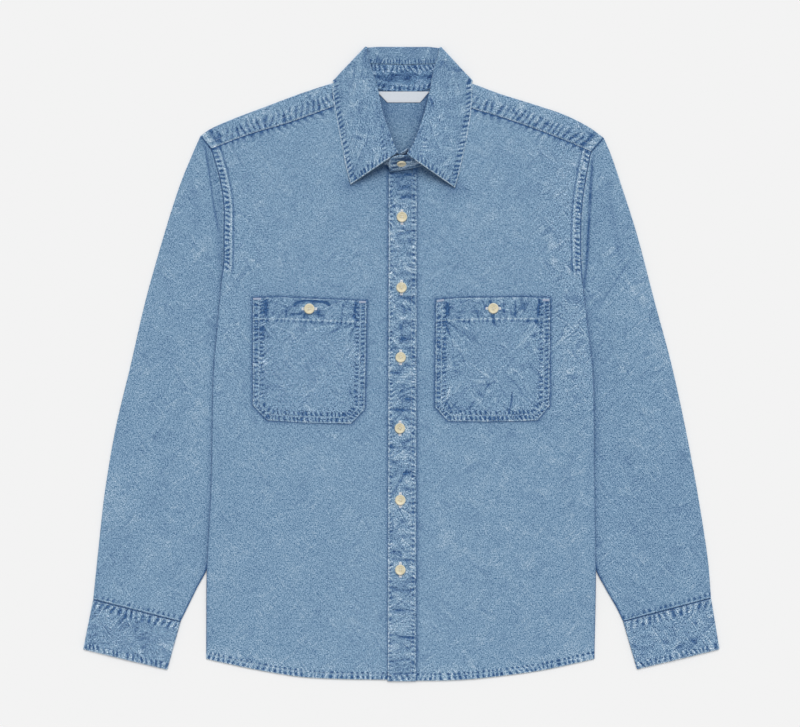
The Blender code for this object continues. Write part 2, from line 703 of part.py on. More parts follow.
def main():
    empty_scene()
    shirt = bpy.data.collections.new("chambray_shirt")
    bpy.context.scene.collection.children.link(shirt)
    cloth = material("chambray", CLOTH_COLOUR, 0.85)
    inside = material("chambray_inside", INSIDE_COLOUR, 0.85)
    tape = material("label_tape", LABEL_COLOUR, 0.6)
    horn = material("button_resin", BUTTON_COLOUR, 0.35)
    build_back(cloth, shirt)
    build_yoke(cloth, shirt)
    for side in ("right", "left"):
        build_front(side, cloth, shirt)
        build_pocket(side, cloth, shirt)
        build_sleeve(side, cloth, shirt)
        build_cuff(side, cloth, shirt)
    build_placket(cloth, shirt)
    build_stand(inside, shirt)
    build_fall(cloth, shirt)
    build_label(tape, shirt)
    build_buttons(horn, shirt)


main()
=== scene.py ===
"""Washed chambray work shirt, buttoned up and laid flat, front up, seen from straight above.

Sizes are in millimetres and become metres in the meshes. X runs across the shirt, to the wearer's
left. Y runs from hem to collar. Z is up, and the table is at Z = 0.
"""
import math

import bpy
import numpy as np
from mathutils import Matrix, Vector
from mathutils.bvhtree import BVHTree


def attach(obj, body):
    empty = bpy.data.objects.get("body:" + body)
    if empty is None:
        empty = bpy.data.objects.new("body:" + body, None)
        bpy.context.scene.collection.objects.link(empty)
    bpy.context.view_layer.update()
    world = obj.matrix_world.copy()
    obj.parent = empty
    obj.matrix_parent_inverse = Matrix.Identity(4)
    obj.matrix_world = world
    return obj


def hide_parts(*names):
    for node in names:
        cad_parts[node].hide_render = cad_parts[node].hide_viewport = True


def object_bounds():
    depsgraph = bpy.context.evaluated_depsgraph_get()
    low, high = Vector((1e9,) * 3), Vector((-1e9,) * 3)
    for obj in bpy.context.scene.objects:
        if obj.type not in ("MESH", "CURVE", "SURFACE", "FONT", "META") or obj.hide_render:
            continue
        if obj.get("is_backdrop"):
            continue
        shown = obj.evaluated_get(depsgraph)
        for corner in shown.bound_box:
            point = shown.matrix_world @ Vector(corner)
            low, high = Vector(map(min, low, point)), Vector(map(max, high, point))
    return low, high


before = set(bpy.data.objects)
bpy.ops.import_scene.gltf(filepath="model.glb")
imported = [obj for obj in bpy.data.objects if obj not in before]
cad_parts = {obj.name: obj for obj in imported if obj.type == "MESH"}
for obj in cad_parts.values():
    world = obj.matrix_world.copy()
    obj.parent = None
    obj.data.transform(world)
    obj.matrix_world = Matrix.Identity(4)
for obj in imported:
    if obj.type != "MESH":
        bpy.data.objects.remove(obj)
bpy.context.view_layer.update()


# Back panel
# One cut of washed chambray below the back yoke seam, with a narrow turned hem, felled to the
# fronts at the sides. It lies on the table, and its sides lie up on the sleeves' inner folds.

MM = 0.001
WALL = 1.0
LAYER = 1.3
FOLD_LIFT = 2.9
NO_EDGE = 60.0

ARMHOLE = {
    "right": [(-238, 269.5), (-227.5, 233), (-222, 198), (-222, 163), (-222, 128), (-224.5, 109.5)],
    "left": [(237, 266), (230.5, 233), (225, 191), (224, 145), (225.5, 107)],
}
SIDE = {
    "right": [(-224.5, 109.5), (-230.5, 43), (-235.5, -19.5), (-237.5, -142), (-240, -194.5),
              (-243, -255.5), (-244, -367.3)],
    "left": [(225.5, 107), (233, 43), (239.5, -19.5), (241, -133), (242.5, -254.5), (241, -367.5)],
}
BACK_HEM = [(-244, -367.3), (-223, -371.4), (-174.5, -381.3), (-125.5, -389), (-77, -391.7),
            (0, -393), (60.5, -393.5), (103.5, -390), (173.5, -381), (241, -367.5)]


def smooth(x):
    """0 to 1 with a soft start and end."""
    x = np.clip(x, 0.0, 1.0)
    return x * x * (3 - 2 * x)


def curve(points, pieces=10):
    """A dense line through the points of an outline (Catmull-Rom)."""
    p = np.array(points, float)
    if len(p) == 2:
        return p
    p = np.vstack([2 * p[0] - p[1], p, 2 * p[-1] - p[-2]])
    a, b, c, d = p[:-3, None], p[1:-2, None], p[2:-1, None], p[3:, None]
    t = (np.arange(pieces) / pieces)[None, :, None]
    line = 0.5 * (2 * b + (c - a) * t + (2 * a - 5 * b + 4 * c - d) * t ** 2
                  + (3 * b - 3 * c + d - a) * t ** 3)
    return np.vstack([line.reshape(-1, p.shape[1]), p[-2:-1]])


def reach(line):
    """How far along a line each of its points is."""
    return np.concatenate([[0.0], np.cumsum(np.linalg.norm(np.diff(line, axis=0), axis=1))])


def at(line, shares):
    """The points at these shares of a line's length."""
    run = reach(line)
    wanted = np.asarray(shares) * run[-1]
    return np.stack([np.interp(wanted, run, line[:, k]) for k in range(line.shape[1])], axis=1)


def spaced(length, step, *zones, multiple=4):
    """Shares of a length a step apart, and closer in the zones, which are (start, end, step)."""
    x = np.linspace(0, length, 3000)
    steps = np.full(len(x), float(step))
    for start, end, fine in zones:
        steps[(x >= start) & (x <= end)] = fine
    count = np.cumsum((x[1] - x[0]) * 0.5 * (1 / steps[1:] + 1 / steps[:-1]))
    count = np.concatenate([[0.0], count])
    total = multiple * math.ceil(count[-1] / multiple)
    return np.interp(np.linspace(0, count[-1], total + 1), count, x) / length


def patch(top, bottom, left, right, u, v):
    """Plan points between four edge lines, at shares u across and v down (a Coons patch)."""
    t, b = at(top, u)[None], at(bottom, u)[None]
    l, r = at(left, v)[:, None], at(right, v)[:, None]
    u, v = u[None, :, None], v[:, None, None]
    upper, lower = ((1 - u) * row[:, :1] + u * row[:, -1:] for row in (t, b))
    return (1 - u) * l + u * r + (1 - v) * t + v * b - ((1 - v) * upper + v * lower)


def noise(x, y, seed):
    """Smooth uneven values from 0 to 1, with about one swell for each unit of x and y."""
    size = 97
    table = np.random.default_rng(seed).random((size, size))
    x, y = np.broadcast_arrays(x, y)
    i, j = np.floor(x).astype(int), np.floor(y).astype(int)
    fx, fy = smooth(x - i), smooth(y - j)
    first, second = (table[i % size, row % size] * (1 - fx) + table[(i + 1) % size, row % size] * fx
                     for row in (j, j + 1))
    return first * (1 - fy) + second * fy


def near(plan, line):
    """Distance of plan points from a line, and how far along the line the nearest point is."""
    flat = plan.reshape(-1, 2)
    gap, run, start = np.full(len(flat), 1e9), np.zeros(len(flat)), 0.0
    for a, b in zip(line[:-1], line[1:]):
        size = max(np.linalg.norm(b - a), 1e-9)
        t = np.clip((flat - a) @ (b - a) / size ** 2, 0, 1)
        d = np.linalg.norm(flat - a - t[:, None] * (b - a), axis=1)
        closer = d < gap
        gap[closer] = d[closer]
        run[closer] = start + t[closer] * size
        start += size
    return gap.reshape(plan.shape[:-1]), run.reshape(plan.shape[:-1])


def rest(plan):
    """How far the sleeve folds under the body's sides lift it off the table."""
    edge = np.array(ARMHOLE["right"] + SIDE["right"][1:])
    half = np.interp(-plan[..., 1], -edge[:, 1], -edge[:, 0])
    across = 1 - smooth((half - abs(plan[..., 0]) - 18) / 25)
    ends = smooth((225 - plan[..., 1]) / 113) * smooth((plan[..., 1] + 360) / 104)
    return FOLD_LIFT * across * ends


def on_layer(plan, layer):
    """Points of the upper face of a piece that lies on this layer."""
    return np.dstack([plan, rest(plan) + layer * LAYER + WALL])


def surface(at_points, relief=0.0, wear_and_shading=0.0, edge=NO_EDGE, blotch=0.0, weave=None, crinkle=0.3):
    """A grid of cloth: where it lies, its fine relief in mm, how washing marked it, and painted
    light and shade.
    """
    marks = {"relief": relief, "wear_and_shading": wear_and_shading, "edge": edge, "blotch": blotch, "crinkle": crinkle}
    full = {key: np.broadcast_to(np.asarray(value, float), at_points.shape[:2])
            for key, value in marks.items()}
    return dict(full, at=at_points, weave=at_points[..., :2] if weave is None else weave)


def facing(points, ring):
    """Unit normals of a grid whose columns run to the right and rows down, seen from outside."""
    if ring:
        across = np.roll(points, -1, axis=1) - np.roll(points, 1, axis=1)
    else:
        across = np.gradient(points, axis=1)
    square = np.cross(np.gradient(points, axis=0), across)
    return square / np.maximum(np.linalg.norm(square, axis=2, keepdims=True), 1e-9)


def quads(start, rows, columns, ring):
    """Corners of the faces between the points of a grid, which is open or closed to a ring."""
    i, j = np.arange(rows - 1)[:, None], np.arange(columns if ring else columns - 1)[None]
    here, below = i * columns, (i + 1) * columns
    k = (j + 1) % columns
    corners = np.broadcast_arrays(here + j, below + j, below + k, here + k)
    return start + np.stack(corners, axis=-1).reshape(-1, 4)


def shell(cloth, wall=WALL, ring=False, coarse=4, seed=0.0, under=None):
    """A closed wall of cloth, its inner face coarser. The face under it can have its own marks."""
    base = cloth["at"]
    rows, columns = base.shape[:2]
    out = facing(base, ring)
    under = under or dict(cloth, relief=np.zeros((rows, columns)))
    outer = base + out * cloth["relief"][..., None]
    r, c = np.arange(0, rows, coarse), np.arange(0, columns, coarse)
    inner = (base - out * (wall + under["relief"])[..., None])[r][:, c]
    first = rows * columns
    faces = quads(0, rows, columns, ring).tolist()
    faces += quads(first, len(r), len(c), ring)[:, ::-1].tolist()
    smooth_faces = len(faces)
    for row, low in ((0, 0), (rows - 1, len(r) - 1)):
        for j in range(len(c) if ring else len(c) - 1):
            fine = [row * columns + (j * coarse + n) % columns for n in range(coarse + 1)]
            back = [first + low * len(c) + (j + 1) % len(c), first + low * len(c) + j]
            faces.append(fine + back if row == 0 else (fine + back)[::-1])
    for column, low in () if ring else ((0, 0), (columns - 1, len(c) - 1)):
        for i in range(len(r) - 1):
            fine = [(i * coarse + n) * columns + column for n in range(coarse + 1)]
            back = [first + (i + 1) * len(c) + low, first + i * len(c) + low]
            faces.append(fine + back if column else (fine + back)[::-1])
    # The wash marks hold wear together with painted shade and highlights
    wash_and_shading, wash_and_shading_under = (np.dstack([face["wear_and_shading"], face["edge"], face["blotch"]])
                        for face in (cloth, under))
    weave = np.dstack([cloth["weave"] + (97.0 * seed, 0), cloth["crinkle"]])
    points, wash_and_shading, weave = (
        np.vstack([above.reshape(-1, 3), below.reshape(-1, 3)])
        for above, below in ((outer, inner), (wash_and_shading, wash_and_shading_under[r][:, c]), (weave, weave[r][:, c])))
    return {"points": points, "faces": faces, "smooth": smooth_faces, "wash_and_shading": wash_and_shading, "weave": weave}


def piece(name, shells, finish, node=None):
    """One object of these shells, riding on the shirt in place of its solid."""
    points, faces, flags, start = [], [], [], 0
    for part in shells:
        points.append(part["points"])
        faces += [[start + i for i in face] for face in part["faces"]]
        flags += [True] * part["smooth"] + [False] * (len(part["faces"]) - part["smooth"])
        start += len(part["points"])
    mesh = bpy.data.meshes.new(name)
    mesh.from_pydata((np.vstack(points) * MM).tolist(), [], faces)
    mesh.polygons.foreach_set("use_smooth", flags)
    for key in ("wash_and_shading", "weave"):
        values = np.vstack([part[key] for part in shells]).astype(np.float32)
        mesh.attributes.new(key, "FLOAT_VECTOR", "POINT").data.foreach_set("vector", values.ravel())
    mesh.materials.append(finish)
    made = bpy.data.objects.new(name, mesh)
    bpy.context.scene.collection.objects.link(made)
    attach(made, "root")
    if node:
        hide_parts(node)
    return made


def add_node(tree, kind, inputs=(), **settings):
    made = tree.nodes.new("ShaderNode" + kind)
    for key, value in settings.items():
        setattr(made, key, value)
    for key, value in dict(inputs).items():
        if isinstance(value, bpy.types.NodeSocket):
            tree.links.new(value, made.inputs[key])
        else:
            made.inputs[key].default_value = value
    return made


def add_math(tree, kind, *values):
    return add_node(tree, "Math", dict(enumerate(values)), operation=kind).outputs[0]


def add_vector(tree, kind, *values):
    return add_node(tree, "VectorMath", dict(enumerate(values)), operation=kind).outputs[0]


def step_up(tree, value, start, end, height=1.0):
    """A soft step from 0 at start to a height at end."""
    inputs = {0: value, 1: start, 2: end, 3: 0.0, 4: height}
    return add_node(tree, "MapRange", inputs, interpolation_type="SMOOTHSTEP").outputs[0]


def new_material(name, roughness):
    made = bpy.data.materials.new(name)
    made.use_nodes = True
    shader = made.node_tree.nodes["Principled BSDF"]
    shader.inputs["Roughness"].default_value = roughness
    return made, made.node_tree, shader


def linear(red, green, blue):
    """A colour as the eye reads it, 0 to 255, turned into the light it gives back."""
    value = np.array([red, green, blue]) / 255
    light = np.where(value <= 0.04045, value / 12.92, ((value + 0.055) / 1.055) ** 2.4)
    return (*light, 1.0)


def weighted(tree, total, *terms):
    """Values, each times its weight, added to a total."""
    for value, weight in terms:
        total = add_math(tree, "MULTIPLY_ADD", value, weight, total)
    return total


def dress(tree, shader, colour, height, distance, strength, levels):
    """The colour, the fine relief with its depth in metres, and the other levels of a shader."""
    tree.links.new(colour, shader.inputs["Base Color"])
    bump = add_node(tree, "Bump", {"Height": height, "Distance": distance, "Strength": strength})
    tree.links.new(bump.outputs[0], shader.inputs["Normal"])
    for key, value in levels.items():
        shader.inputs[key].default_value = value


def chambray(name, dark, middle, pale):
    """Washed chambray: pale weft over blue warp, dark in dips, pale where rubbed, plus painted
    light and shade.
    """
    roughness = 0.88
    made, tree, shader = new_material(name, roughness)
    weave, wash_and_shading = (add_node(tree, "Attribute", attribute_name=key).outputs["Vector"]
                   for key in ("weave", "wash_and_shading"))
    wear_and_shading, edge, blotch = add_node(tree, "SeparateXYZ", {0: wash_and_shading}).outputs
    crinkle = add_node(tree, "SeparateXYZ", {0: weave}).outputs[2]
    bias, cross = (add_node(tree, "VectorRotate", {"Vector": weave, "Angle": turn}).outputs[0]
                   for turn in (-0.7, 0.85))

    def threads(across, along, detail, rough=0.6, place=weave):
        """Uneven threads so many to the millimetre across and along the cloth, about 0."""
        scaled = add_vector(tree, "MULTIPLY", place, (across, along, 0.0))
        inputs = {"Vector": scaled, "Scale": 1.0, "Detail": detail, "Roughness": rough}
        return add_math(tree, "SUBTRACT", add_node(tree, "TexNoise", inputs).outputs[0], 0.5)

    def wrinkles(across, along, place):
        """Fine wrinkles of the washed cloth as painted light and shade: a pale lit line with a
        shaded side, 0 between.
        """
        swell = threads(across, along, 0.6, 0.5, place)
        shaded = add_math(tree, "ABSOLUTE", add_math(tree, "SUBTRACT", swell, 0.09))
        pale_side = step_up(tree, add_math(tree, "ABSOLUTE", swell), 0.06, 0.0)
        line = add_math(tree, "SUBTRACT", pale_side, step_up(tree, shaded, 0.07, 0.0, 1.2))
        strength = step_up(tree, threads(0.05, 0.035, 1.0, place=place), -0.05, 0.15)
        return add_math(tree, "MULTIPLY", line, strength)

    # Tone, from 0 (deep dye and painted shade) over 0.5 to 1 (rubbed pale and painted highlights):
    # clouds, wear with painted shade and highlights, blotches with pale rims, painted wrinkles, and
    # the turned edges
    patches = threads(0.075, 0.16, 1.5, 0.5)
    within = step_up(tree, patches, 0.03, 0.06)
    rim = add_math(tree, "SUBTRACT", step_up(tree, patches, -0.01, 0.03), within)
    within, rim = (add_math(tree, "MULTIPLY", value, blotch) for value in (within, rim))
    lines = add_math(tree, "ADD", wrinkles(0.13, 0.025, bias), wrinkles(0.12, 0.022, cross))
    lines = add_math(tree, "MULTIPLY", lines, crinkle)
    tone = weighted(tree, 0.5, (threads(0.025, 0.02, 2.0), 0.16), (wear_and_shading, 0.42), (within, -0.36),
                    (rim, 0.2), (lines, 0.2))
    tone = add_math(tree, "ADD", tone, step_up(tree, edge, 1.3, 0.4, 0.34))
    ramp = add_node(tree, "ValToRGB", {0: tone})
    ramp.color_ramp.elements[0].color = linear(*dark)
    ramp.color_ramp.elements[1].color = linear(*pale)
    ramp.color_ramp.elements.new(0.5).color = linear(*middle)

    # Grain of single threads, stronger in red than in blue because the dye is blue
    warp, weft, slub = threads(1.4, 0.22, 1.0), threads(0.3, 1.4, 1.0), threads(1.1, 0.62, 0.0)
    wisp, mottle = threads(0.5, 0.13, 1.0), threads(0.4, 0.26, 1.0, place=bias)
    coarse = weighted(tree, 1.14, (crinkle, 1.8))
    grain = weighted(tree, 0.0, (weft, 0.5), (warp, 0.5), (mottle, 0.5), (wisp, 0.4),
                     (slub, coarse))
    grain = add_vector(tree, "MULTIPLY_ADD", grain, (1.66, 1.18, 0.9), (1, 1, 1))
    grain = add_vector(tree, "MAXIMUM", grain, (0.1, 0.1, 0.1))
    colour = add_vector(tree, "MULTIPLY", ramp.outputs[0], grain)
    tree.links.new(weighted(tree, roughness, (slub, -0.2)), shader.inputs["Roughness"])
    height = add_math(tree, "ADD", slub, add_math(tree, "ADD", warp, weft))
    dress(tree, shader, colour, height, 0.0006, 0.5,
          {"Specular IOR Level": 0.2, "Sheen Weight": 0.15, "Sheen Roughness": 0.6})
    return made


outer_cloth = chambray("chambray", (48, 87, 134), (121, 153, 182), (186, 206, 222))
# A darker copy of the chambray for the collar stand: painted shade for the inside of the neck
shaded_inner_cloth = chambray("chambray_inside", (34, 70, 118), (96, 132, 168), (168, 193, 215))

arm = {side: at(curve(ARMHOLE[side]), np.linspace(0, 1, 33)) for side in ("right", "left")}
BACK_START = 12
edge_right = np.vstack([arm["right"][BACK_START:], curve(SIDE["right"])[1:]])
edge_left = np.vstack([arm["left"][BACK_START:], curve(SIDE["left"])[1:]])
seam = np.array([edge_right[0], edge_left[0]])
plan = patch(seam, curve(BACK_HEM), edge_right, edge_left, spaced(450, 7), spaced(590, 7))
gap = near(plan, curve(BACK_HEM))[0]
back = piece("back_panel", [shell(surface(on_layer(plan, 0), edge=gap), coarse=1)],
             outer_cloth, "back")


# Yoke
# One piece over the shoulders: its back part lies on the table and shows inside the neck, and it
# folds over each shoulder to a front strip, lapped and topstitched on the front, roped by washing.

SHOULDER_FOLD = {
    "right": [(-71, 354), (-87, 351), (-127, 338), (-167, 323), (-207, 308), (-237, 295),
              (-251, 285.5)],
    "left": [(76, 354), (90.5, 350), (123, 338), (163, 325.5), (203, 312), (233, 297),
             (252.5, 283)],
}
YOKE_SEAM = {
    "right": [(-68, 328), (-84.5, 322.5), (-141.5, 302), (-189, 288), (-238, 269.5)],
    "left": [(73, 327.5), (88, 320), (123, 309.5), (157, 298), (198, 282.5), (237, 266)],
}
BACK_NECK = [(-71, 354), (-52, 350.5), (-27, 346), (2, 344.5), (30.5, 346), (57, 350.5), (76, 354)]
FOLD_RADIUS = 1.15
ABOVE = 60
YOKE_ROWS = (1.7, 8.0)
YOKE_END_ROWS = (3.0, 9.0)


def unit(vectors):
    """Directions of length 1."""
    return vectors / np.linalg.norm(vectors, axis=-1, keepdims=True)


def left_of(ahead):
    """Plan directions to the left of these."""
    ahead = unit(ahead)
    return np.stack([-ahead[:, 1], ahead[:, 0]], axis=1)


def off(line, distance):
    """A plan line moved sideways, to the left of its direction."""
    return line + distance * left_of(np.gradient(line, axis=0))


def ropes(run, gap, period, seed, slant=0.2):
    """Ridges (1) and dips (-1) across a stitched seam, as uneven as washing makes them."""
    lean = (run + slant * gap) / period + 1.3 * noise(run / (2.5 * period), gap / 14, seed)
    wave = np.sin(2 * math.pi * lean) + 1.3 * (noise(2.3 * lean, gap / 5, seed + 1) - 0.5)
    strength = 0.45 + 1.1 * noise(lean / 1.3, gap / 9, seed + 2)
    return np.clip(1.6 * strength * wave + 0.1, -1, 1)


def worn(rope):
    """Dips keep more dye than ridges lose."""
    return np.where(rope > 0, 0.42 * rope, -0.85 * np.abs(rope) ** 1.5)


def band(gap, start, end, soft=2.0):
    """1 between two distances from a line, fading out past them."""
    return smooth((gap - start) / 0.8 + 1) * smooth((end - gap) / soft + 1)


def roped(gap, run, period, seed, start, end, soft=2.0, slant=0.2):
    """Ridges and dips between two distances from a stitched edge."""
    return ropes(run, gap, period, seed, slant) * band(gap, start, end, soft)


def groove(gap, place, width=0.8):
    """1 along a row of stitches at this distance from a line."""
    return np.exp(-((gap - place) / width) ** 2)


def lines(gap, *rows):
    """Pale lines, or dark ones below 0, from rows of (amount, distance from an edge, width)."""
    return sum(amount * groove(gap, place, width) for amount, place, width in rows)


def curl(gap, radius=0.6):
    """How far a turned edge rounds down next to the edge."""
    return np.sqrt(np.clip(radius ** 2 - np.clip(radius - gap, 0, radius) ** 2, 0, None)) - radius


def unmarked(points, faces, ends):
    """A part that isn't cloth: its points, its rounded faces and its flat ones."""
    none = np.zeros((len(points), 3))
    return {"points": points, "faces": faces + ends, "smooth": len(faces), "wash_and_shading": none,
            "weave": none}


def cords(runs, radius, sides=5):
    """Closed thin threads along runs of points, an array of (thread, station, xyz)."""
    ahead = unit(np.gradient(runs, axis=1))
    up = np.where(abs(ahead[..., 2:]) > 0.9, (1.0, 0.0, 0.0), (0.0, 0.0, 1.0))
    beside = unit(np.cross(ahead, up))
    up = np.cross(beside, ahead)
    turn = (2 * math.pi * np.arange(sides) / sides)[:, None]
    around = beside[:, :, None] * np.cos(turn) + up[:, :, None] * np.sin(turn)
    points = (runs[:, :, None] + radius * around).reshape(-1, 3)
    count, stations = runs.shape[:2]
    first = (np.arange(count) * stations * sides)[:, None] + np.arange(sides)
    last = (first + (stations - 1) * sides)[:, ::-1]
    walls = first[:, :1, None] + quads(0, stations, sides, True)
    return unmarked(points, walls.reshape(-1, 4).tolist(), first.tolist() + last.tolist())


def height_of(trees, x, y):
    """Height of the top shell at a place, or nan beside the shells."""
    hits = [tree.ray_cast(Vector((x, y, ABOVE)), Vector((0, 0, -1)))[0] for tree in trees]
    return max([hit.z for hit in hits if hit], default=np.nan)


def stitches(under, lines, pitch=3.0, length=2.3, radius=0.2):
    """Rows of small arched stitches along plan lines, on the top face of the shells under them."""
    trees = [BVHTree.FromPolygons(part["points"].tolist(), part["faces"]) for part in under]
    runs = []
    for line in lines:
        total = reach(line)[-1]
        starts = np.arange(0.4, total - length, pitch)[:, None]
        plan = at(line, ((starts + length * np.array([0, 0.3, 0.7, 1])) / total).ravel())
        tops = [height_of(trees, x, y) for x, y in plan]
        arch = np.tile([-0.15, 0.8 * radius, 0.8 * radius, -0.15], len(starts))
        row = np.column_stack([plan, np.array(tops) + arch]).reshape(-1, 4, 3)
        runs.append(row[~np.isnan(row).any(axis=(1, 2))])
    return cords(np.vstack(runs), radius)


def sew(name, under, rows):
    """Rows of stitches through some shells, as a piece of their own."""
    piece(name + "_stitches", [stitches(under, rows)], seam_thread)


def thread_material(name, colour):
    """Spun cotton thread, a little uneven in colour."""
    made, tree, shader = new_material(name, 0.8)
    place = add_node(tree, "TexCoord").outputs["Object"]
    fuzz = add_node(tree, "TexNoise", {"Vector": place, "Scale": 900.0, "Detail": 2.0}).outputs[0]
    shade = add_node(tree, "MixRGB", {0: fuzz, 1: linear(*(0.86 * np.array(colour))),
                                      2: linear(*colour)}).outputs[0]
    dress(tree, shader, shade, fuzz, 0.0001, 0.4, {"Specular IOR Level": 0.25, "Sheen Weight": 0.2})
    return made


seam_thread = thread_material("seam_thread", (176, 197, 216))

folds = {side: at(curve(SHOULDER_FOLD[side]), np.linspace(0, 1, 65)) for side in ("right", "left")}
inset = {"right": off(folds["right"], FOLD_RADIUS), "left": off(folds["left"], -FOLD_RADIUS)}
neck = curve(BACK_NECK)
top = np.vstack([inset["right"][::-1], neck[1:-1], inset["left"]])
sides = {side: np.vstack([inset[side][-1:], arm[side][:BACK_START + 1]]) for side in inset}
plan = patch(top, seam, sides["right"], sides["left"],
             spaced(520, 5, (215, 305, 2)), spaced(110, 3))
flat_back = np.dstack([plan, np.full(plan.shape[:2], WALL)])
# Painted shade: the back yoke is darker inside the neck, and darkest along the collar's roll edges
shade = -0.34 * smooth((plan[..., 1] - 285) / 30) * smooth((80 - abs(plan[..., 0])) / 20)
half = np.interp(plan[..., 1], [262, 288, 312, 342, 385], [5, 17, 26, 33, 45])
shade -= 0.75 * np.exp(-abs(abs(plan[..., 0] - 2) - half) / 5) * smooth((plan[..., 1] - 250) / 12)
yoke_shells = [shell(surface(flat_back, wear_and_shading=shade), coarse=1, seed=2.0)]
yoke_rows = []
for side, seed in (("right", 11), ("left", 15)):
    seam_line = curve(YOKE_SEAM[side])
    u, v = spaced(190, 1.4, (178, 190, 0.7)), spaced(36, 1.2, (33, 36, 0.5))
    cap = np.array([inset[side][-1], seam_line[-1]])
    neck_end = np.array([inset[side][0], seam_line[0]])
    strip = patch(inset[side], seam_line, neck_end, cap, u, v)
    angles = np.linspace(0, math.pi, 9)[:-1, None, None]
    inner, outer = at(inset[side], u)[None], at(folds[side], u)[None]
    plan = np.vstack([inner + (outer - inner) * np.sin(angles), strip])
    lift = np.vstack([FOLD_RADIUS * (1 - np.cos(angles[..., 0])) + np.zeros((1, len(u))),
                      np.full(strip.shape[:2], 2 * FOLD_RADIUS)])
    gap, run = near(plan, seam_line)
    fold_gap = near(plan, folds[side])[0]
    end_gap = near(plan, cap)[0]
    inward = -1 if side == "right" else 1
    rope = roped(gap, run, 7.6, seed, 1.4, 13, 8, -0.25 * inward) * smooth((end_gap - 10) / 5)
    tab = roped(end_gap, gap, 7.0, seed + 3, 1.5, 8)
    lift += 0.4 * smooth((7 - gap) / 5) * smooth(fold_gap / 6)
    # The dark line at the strip's armhole end is painted shadow in the seam
    wear_and_shading = worn(rope) + 0.5 * worn(tab) + lines(end_gap, (0.45, 5, 4), (-2.2, 0, 0.8))
    # The dark row 13 mm in from the armhole is painted shadow beside the armhole band
    wear_and_shading -= 0.9 * groove(end_gap, 13, 3.5) * smooth(gap / 4)
    wear_and_shading -= 0.25 * smooth((15 - gap) / 5) * smooth((end_gap - 8) / 4)
    relief = 0.42 * rope + 0.15 * tab + lines(gap, (-0.2, YOKE_ROWS[0], 0.5))
    relief = (relief - 0.25 * groove(end_gap, YOKE_END_ROWS[1])) * smooth(fold_gap / 5) + curl(gap)
    cloth = surface(np.dstack([plan, lift]), relief, wear_and_shading, gap, crinkle=0.8)
    if side == "right":
        cloth = {key: value[:, ::-1] for key, value in cloth.items()}
    yoke_shells.append(shell(cloth, seed=3.0))
    yoke_rows += [off(seam_line, d * inward) for d in YOKE_ROWS]
    yoke_rows += [off(cap, d * -inward) for d in YOKE_END_ROWS]
yoke = piece("yoke_panel", yoke_shells, outer_cloth, "yoke")
sew("yoke", yoke_shells, yoke_rows)


# Fronts
# The right front runs on under the placket as the button stand. Each front has a curved hem turned
# up twice and stitched, and is felled to the sleeve at the armhole with a roped band of stitching.

NECKLINE = {
    "right": [(-68, 328), (-66, 312), (-58, 292), (-42.5, 270), (-24.5, 255), (-13, 249.5),
              (13, 247.5)],
    "left": [(73, 327.5), (72, 312), (62.5, 292), (47, 269.5), (30, 254.5), (13.3, 247.5)],
}
HEM = {
    "right": [(13, -394), (-19.5, -393.5), (-77, -392.6), (-125.5, -389.9), (-174.5, -382.2),
              (-223, -372.2), (-244, -367.3)],
    "left": [(13.3, -394.8), (60.5, -394.3), (103.5, -391.2), (173.5, -382), (241, -367.5)],
}
HEM_ROW = 7.0
ARM_ROW = 7.8
POCKET = {
    "right": {"top": [(-186, 83.3), (-150, 84.2), (-115, 82.6), (-79, 81.2), (-43, 79.6)],
              "left": [(-186, 83.3), (-186, -51), (-168, -70)],
              "right": [(-43, 79.6), (-45.5, -56), (-62.5, -74)]},
    "left": {"top": [(42.5, 81.3), (78, 83.4), (114, 83.9), (150, 84.3), (186, 83.5)],
             "left": [(42.5, 81.3), (41.5, -53), (57.5, -71)],
             "right": [(186, 83.5), (185, -52), (169.5, -70)]},
}

# The front edge of each collar leaf, along which painted shadow darkens the front under it
COLLAR_LEAF = {"right": [(-64, 224), (-12, 252)], "left": [(67, 220), (12, 252)]}

# Creases: how high each stands (or how deep it dips), how wide it is, and x, y along its line
FRONT_CREASES = {
    "right": [
        (-0.3, 2.2, -225.9, 257.6, -214, 239.4), (-0.3, 2.2, -174.6, 290.6, -191.1, 276),
        (0.25, 1.9, -130.6, 302.5, -137.9, 292.5), (-0.25, 2.2, -209.4, 272.2, -194.8, 263.1),
        (0.3, 2.2, -209.4, 136.9, -222.2, 120.1), (0.2, 1.9, -203.9, 230.1, -214.9, 219.1),
        (-0.15, 3.8, -220.6, 80.6, -204.4, 53.1), (-0.12, 5, -231.9, -69.4, -221.9, -169.4),
    ],
    "left": [
        (-0.25, 2.2, 230.6, 58.1, 213.1, 48.1, 191.9, 31.9),
        (-0.22, 2.2, 226.9, 43.1, 193.1, 20.6),
        (-0.25, 2.5, 219.4, 138.1, 205.6, 120.6, 191.9, 98.1),
        (-0.25, 2.5, 218.1, 96.9, 191.9, 71.9), (0.2, 2, 233.1, 80.6, 210.6, 65.6, 183.1, 53.1),
        (-0.3, 2.2, 179.4, 295.6, 188.1, 284.4), (0.2, 2, 129.4, 315.6, 138.1, 300.6),
        (-0.15, 3.1, 220.6, 5.6, 193.1, -16.9), (-0.12, 5, 238.1, -69.4, 230.6, -169.4),
    ],
}


def creases(plan, rows):
    """Heights of soft ridges and troughs from a table of (height, width, x, y, x, y, ...)."""
    total = np.zeros(plan.shape[:2])
    for height, width, *line in rows:
        line = curve(np.reshape(line, (-1, 2)), 4)
        low, high = line.min(axis=0) - 2 * width, line.max(axis=0) + 2 * width
        inside = ((plan >= low) & (plan <= high)).all(axis=2)
        gap, run = near(plan[inside][None], line)
        share = run / reach(line)[-1]
        ends = np.clip(5 * share * (1 - share), 0, 1) ** 0.4
        total[inside] += (height * np.exp(-(gap / width) ** 2 * 3.5) * ends)[0]
    return total


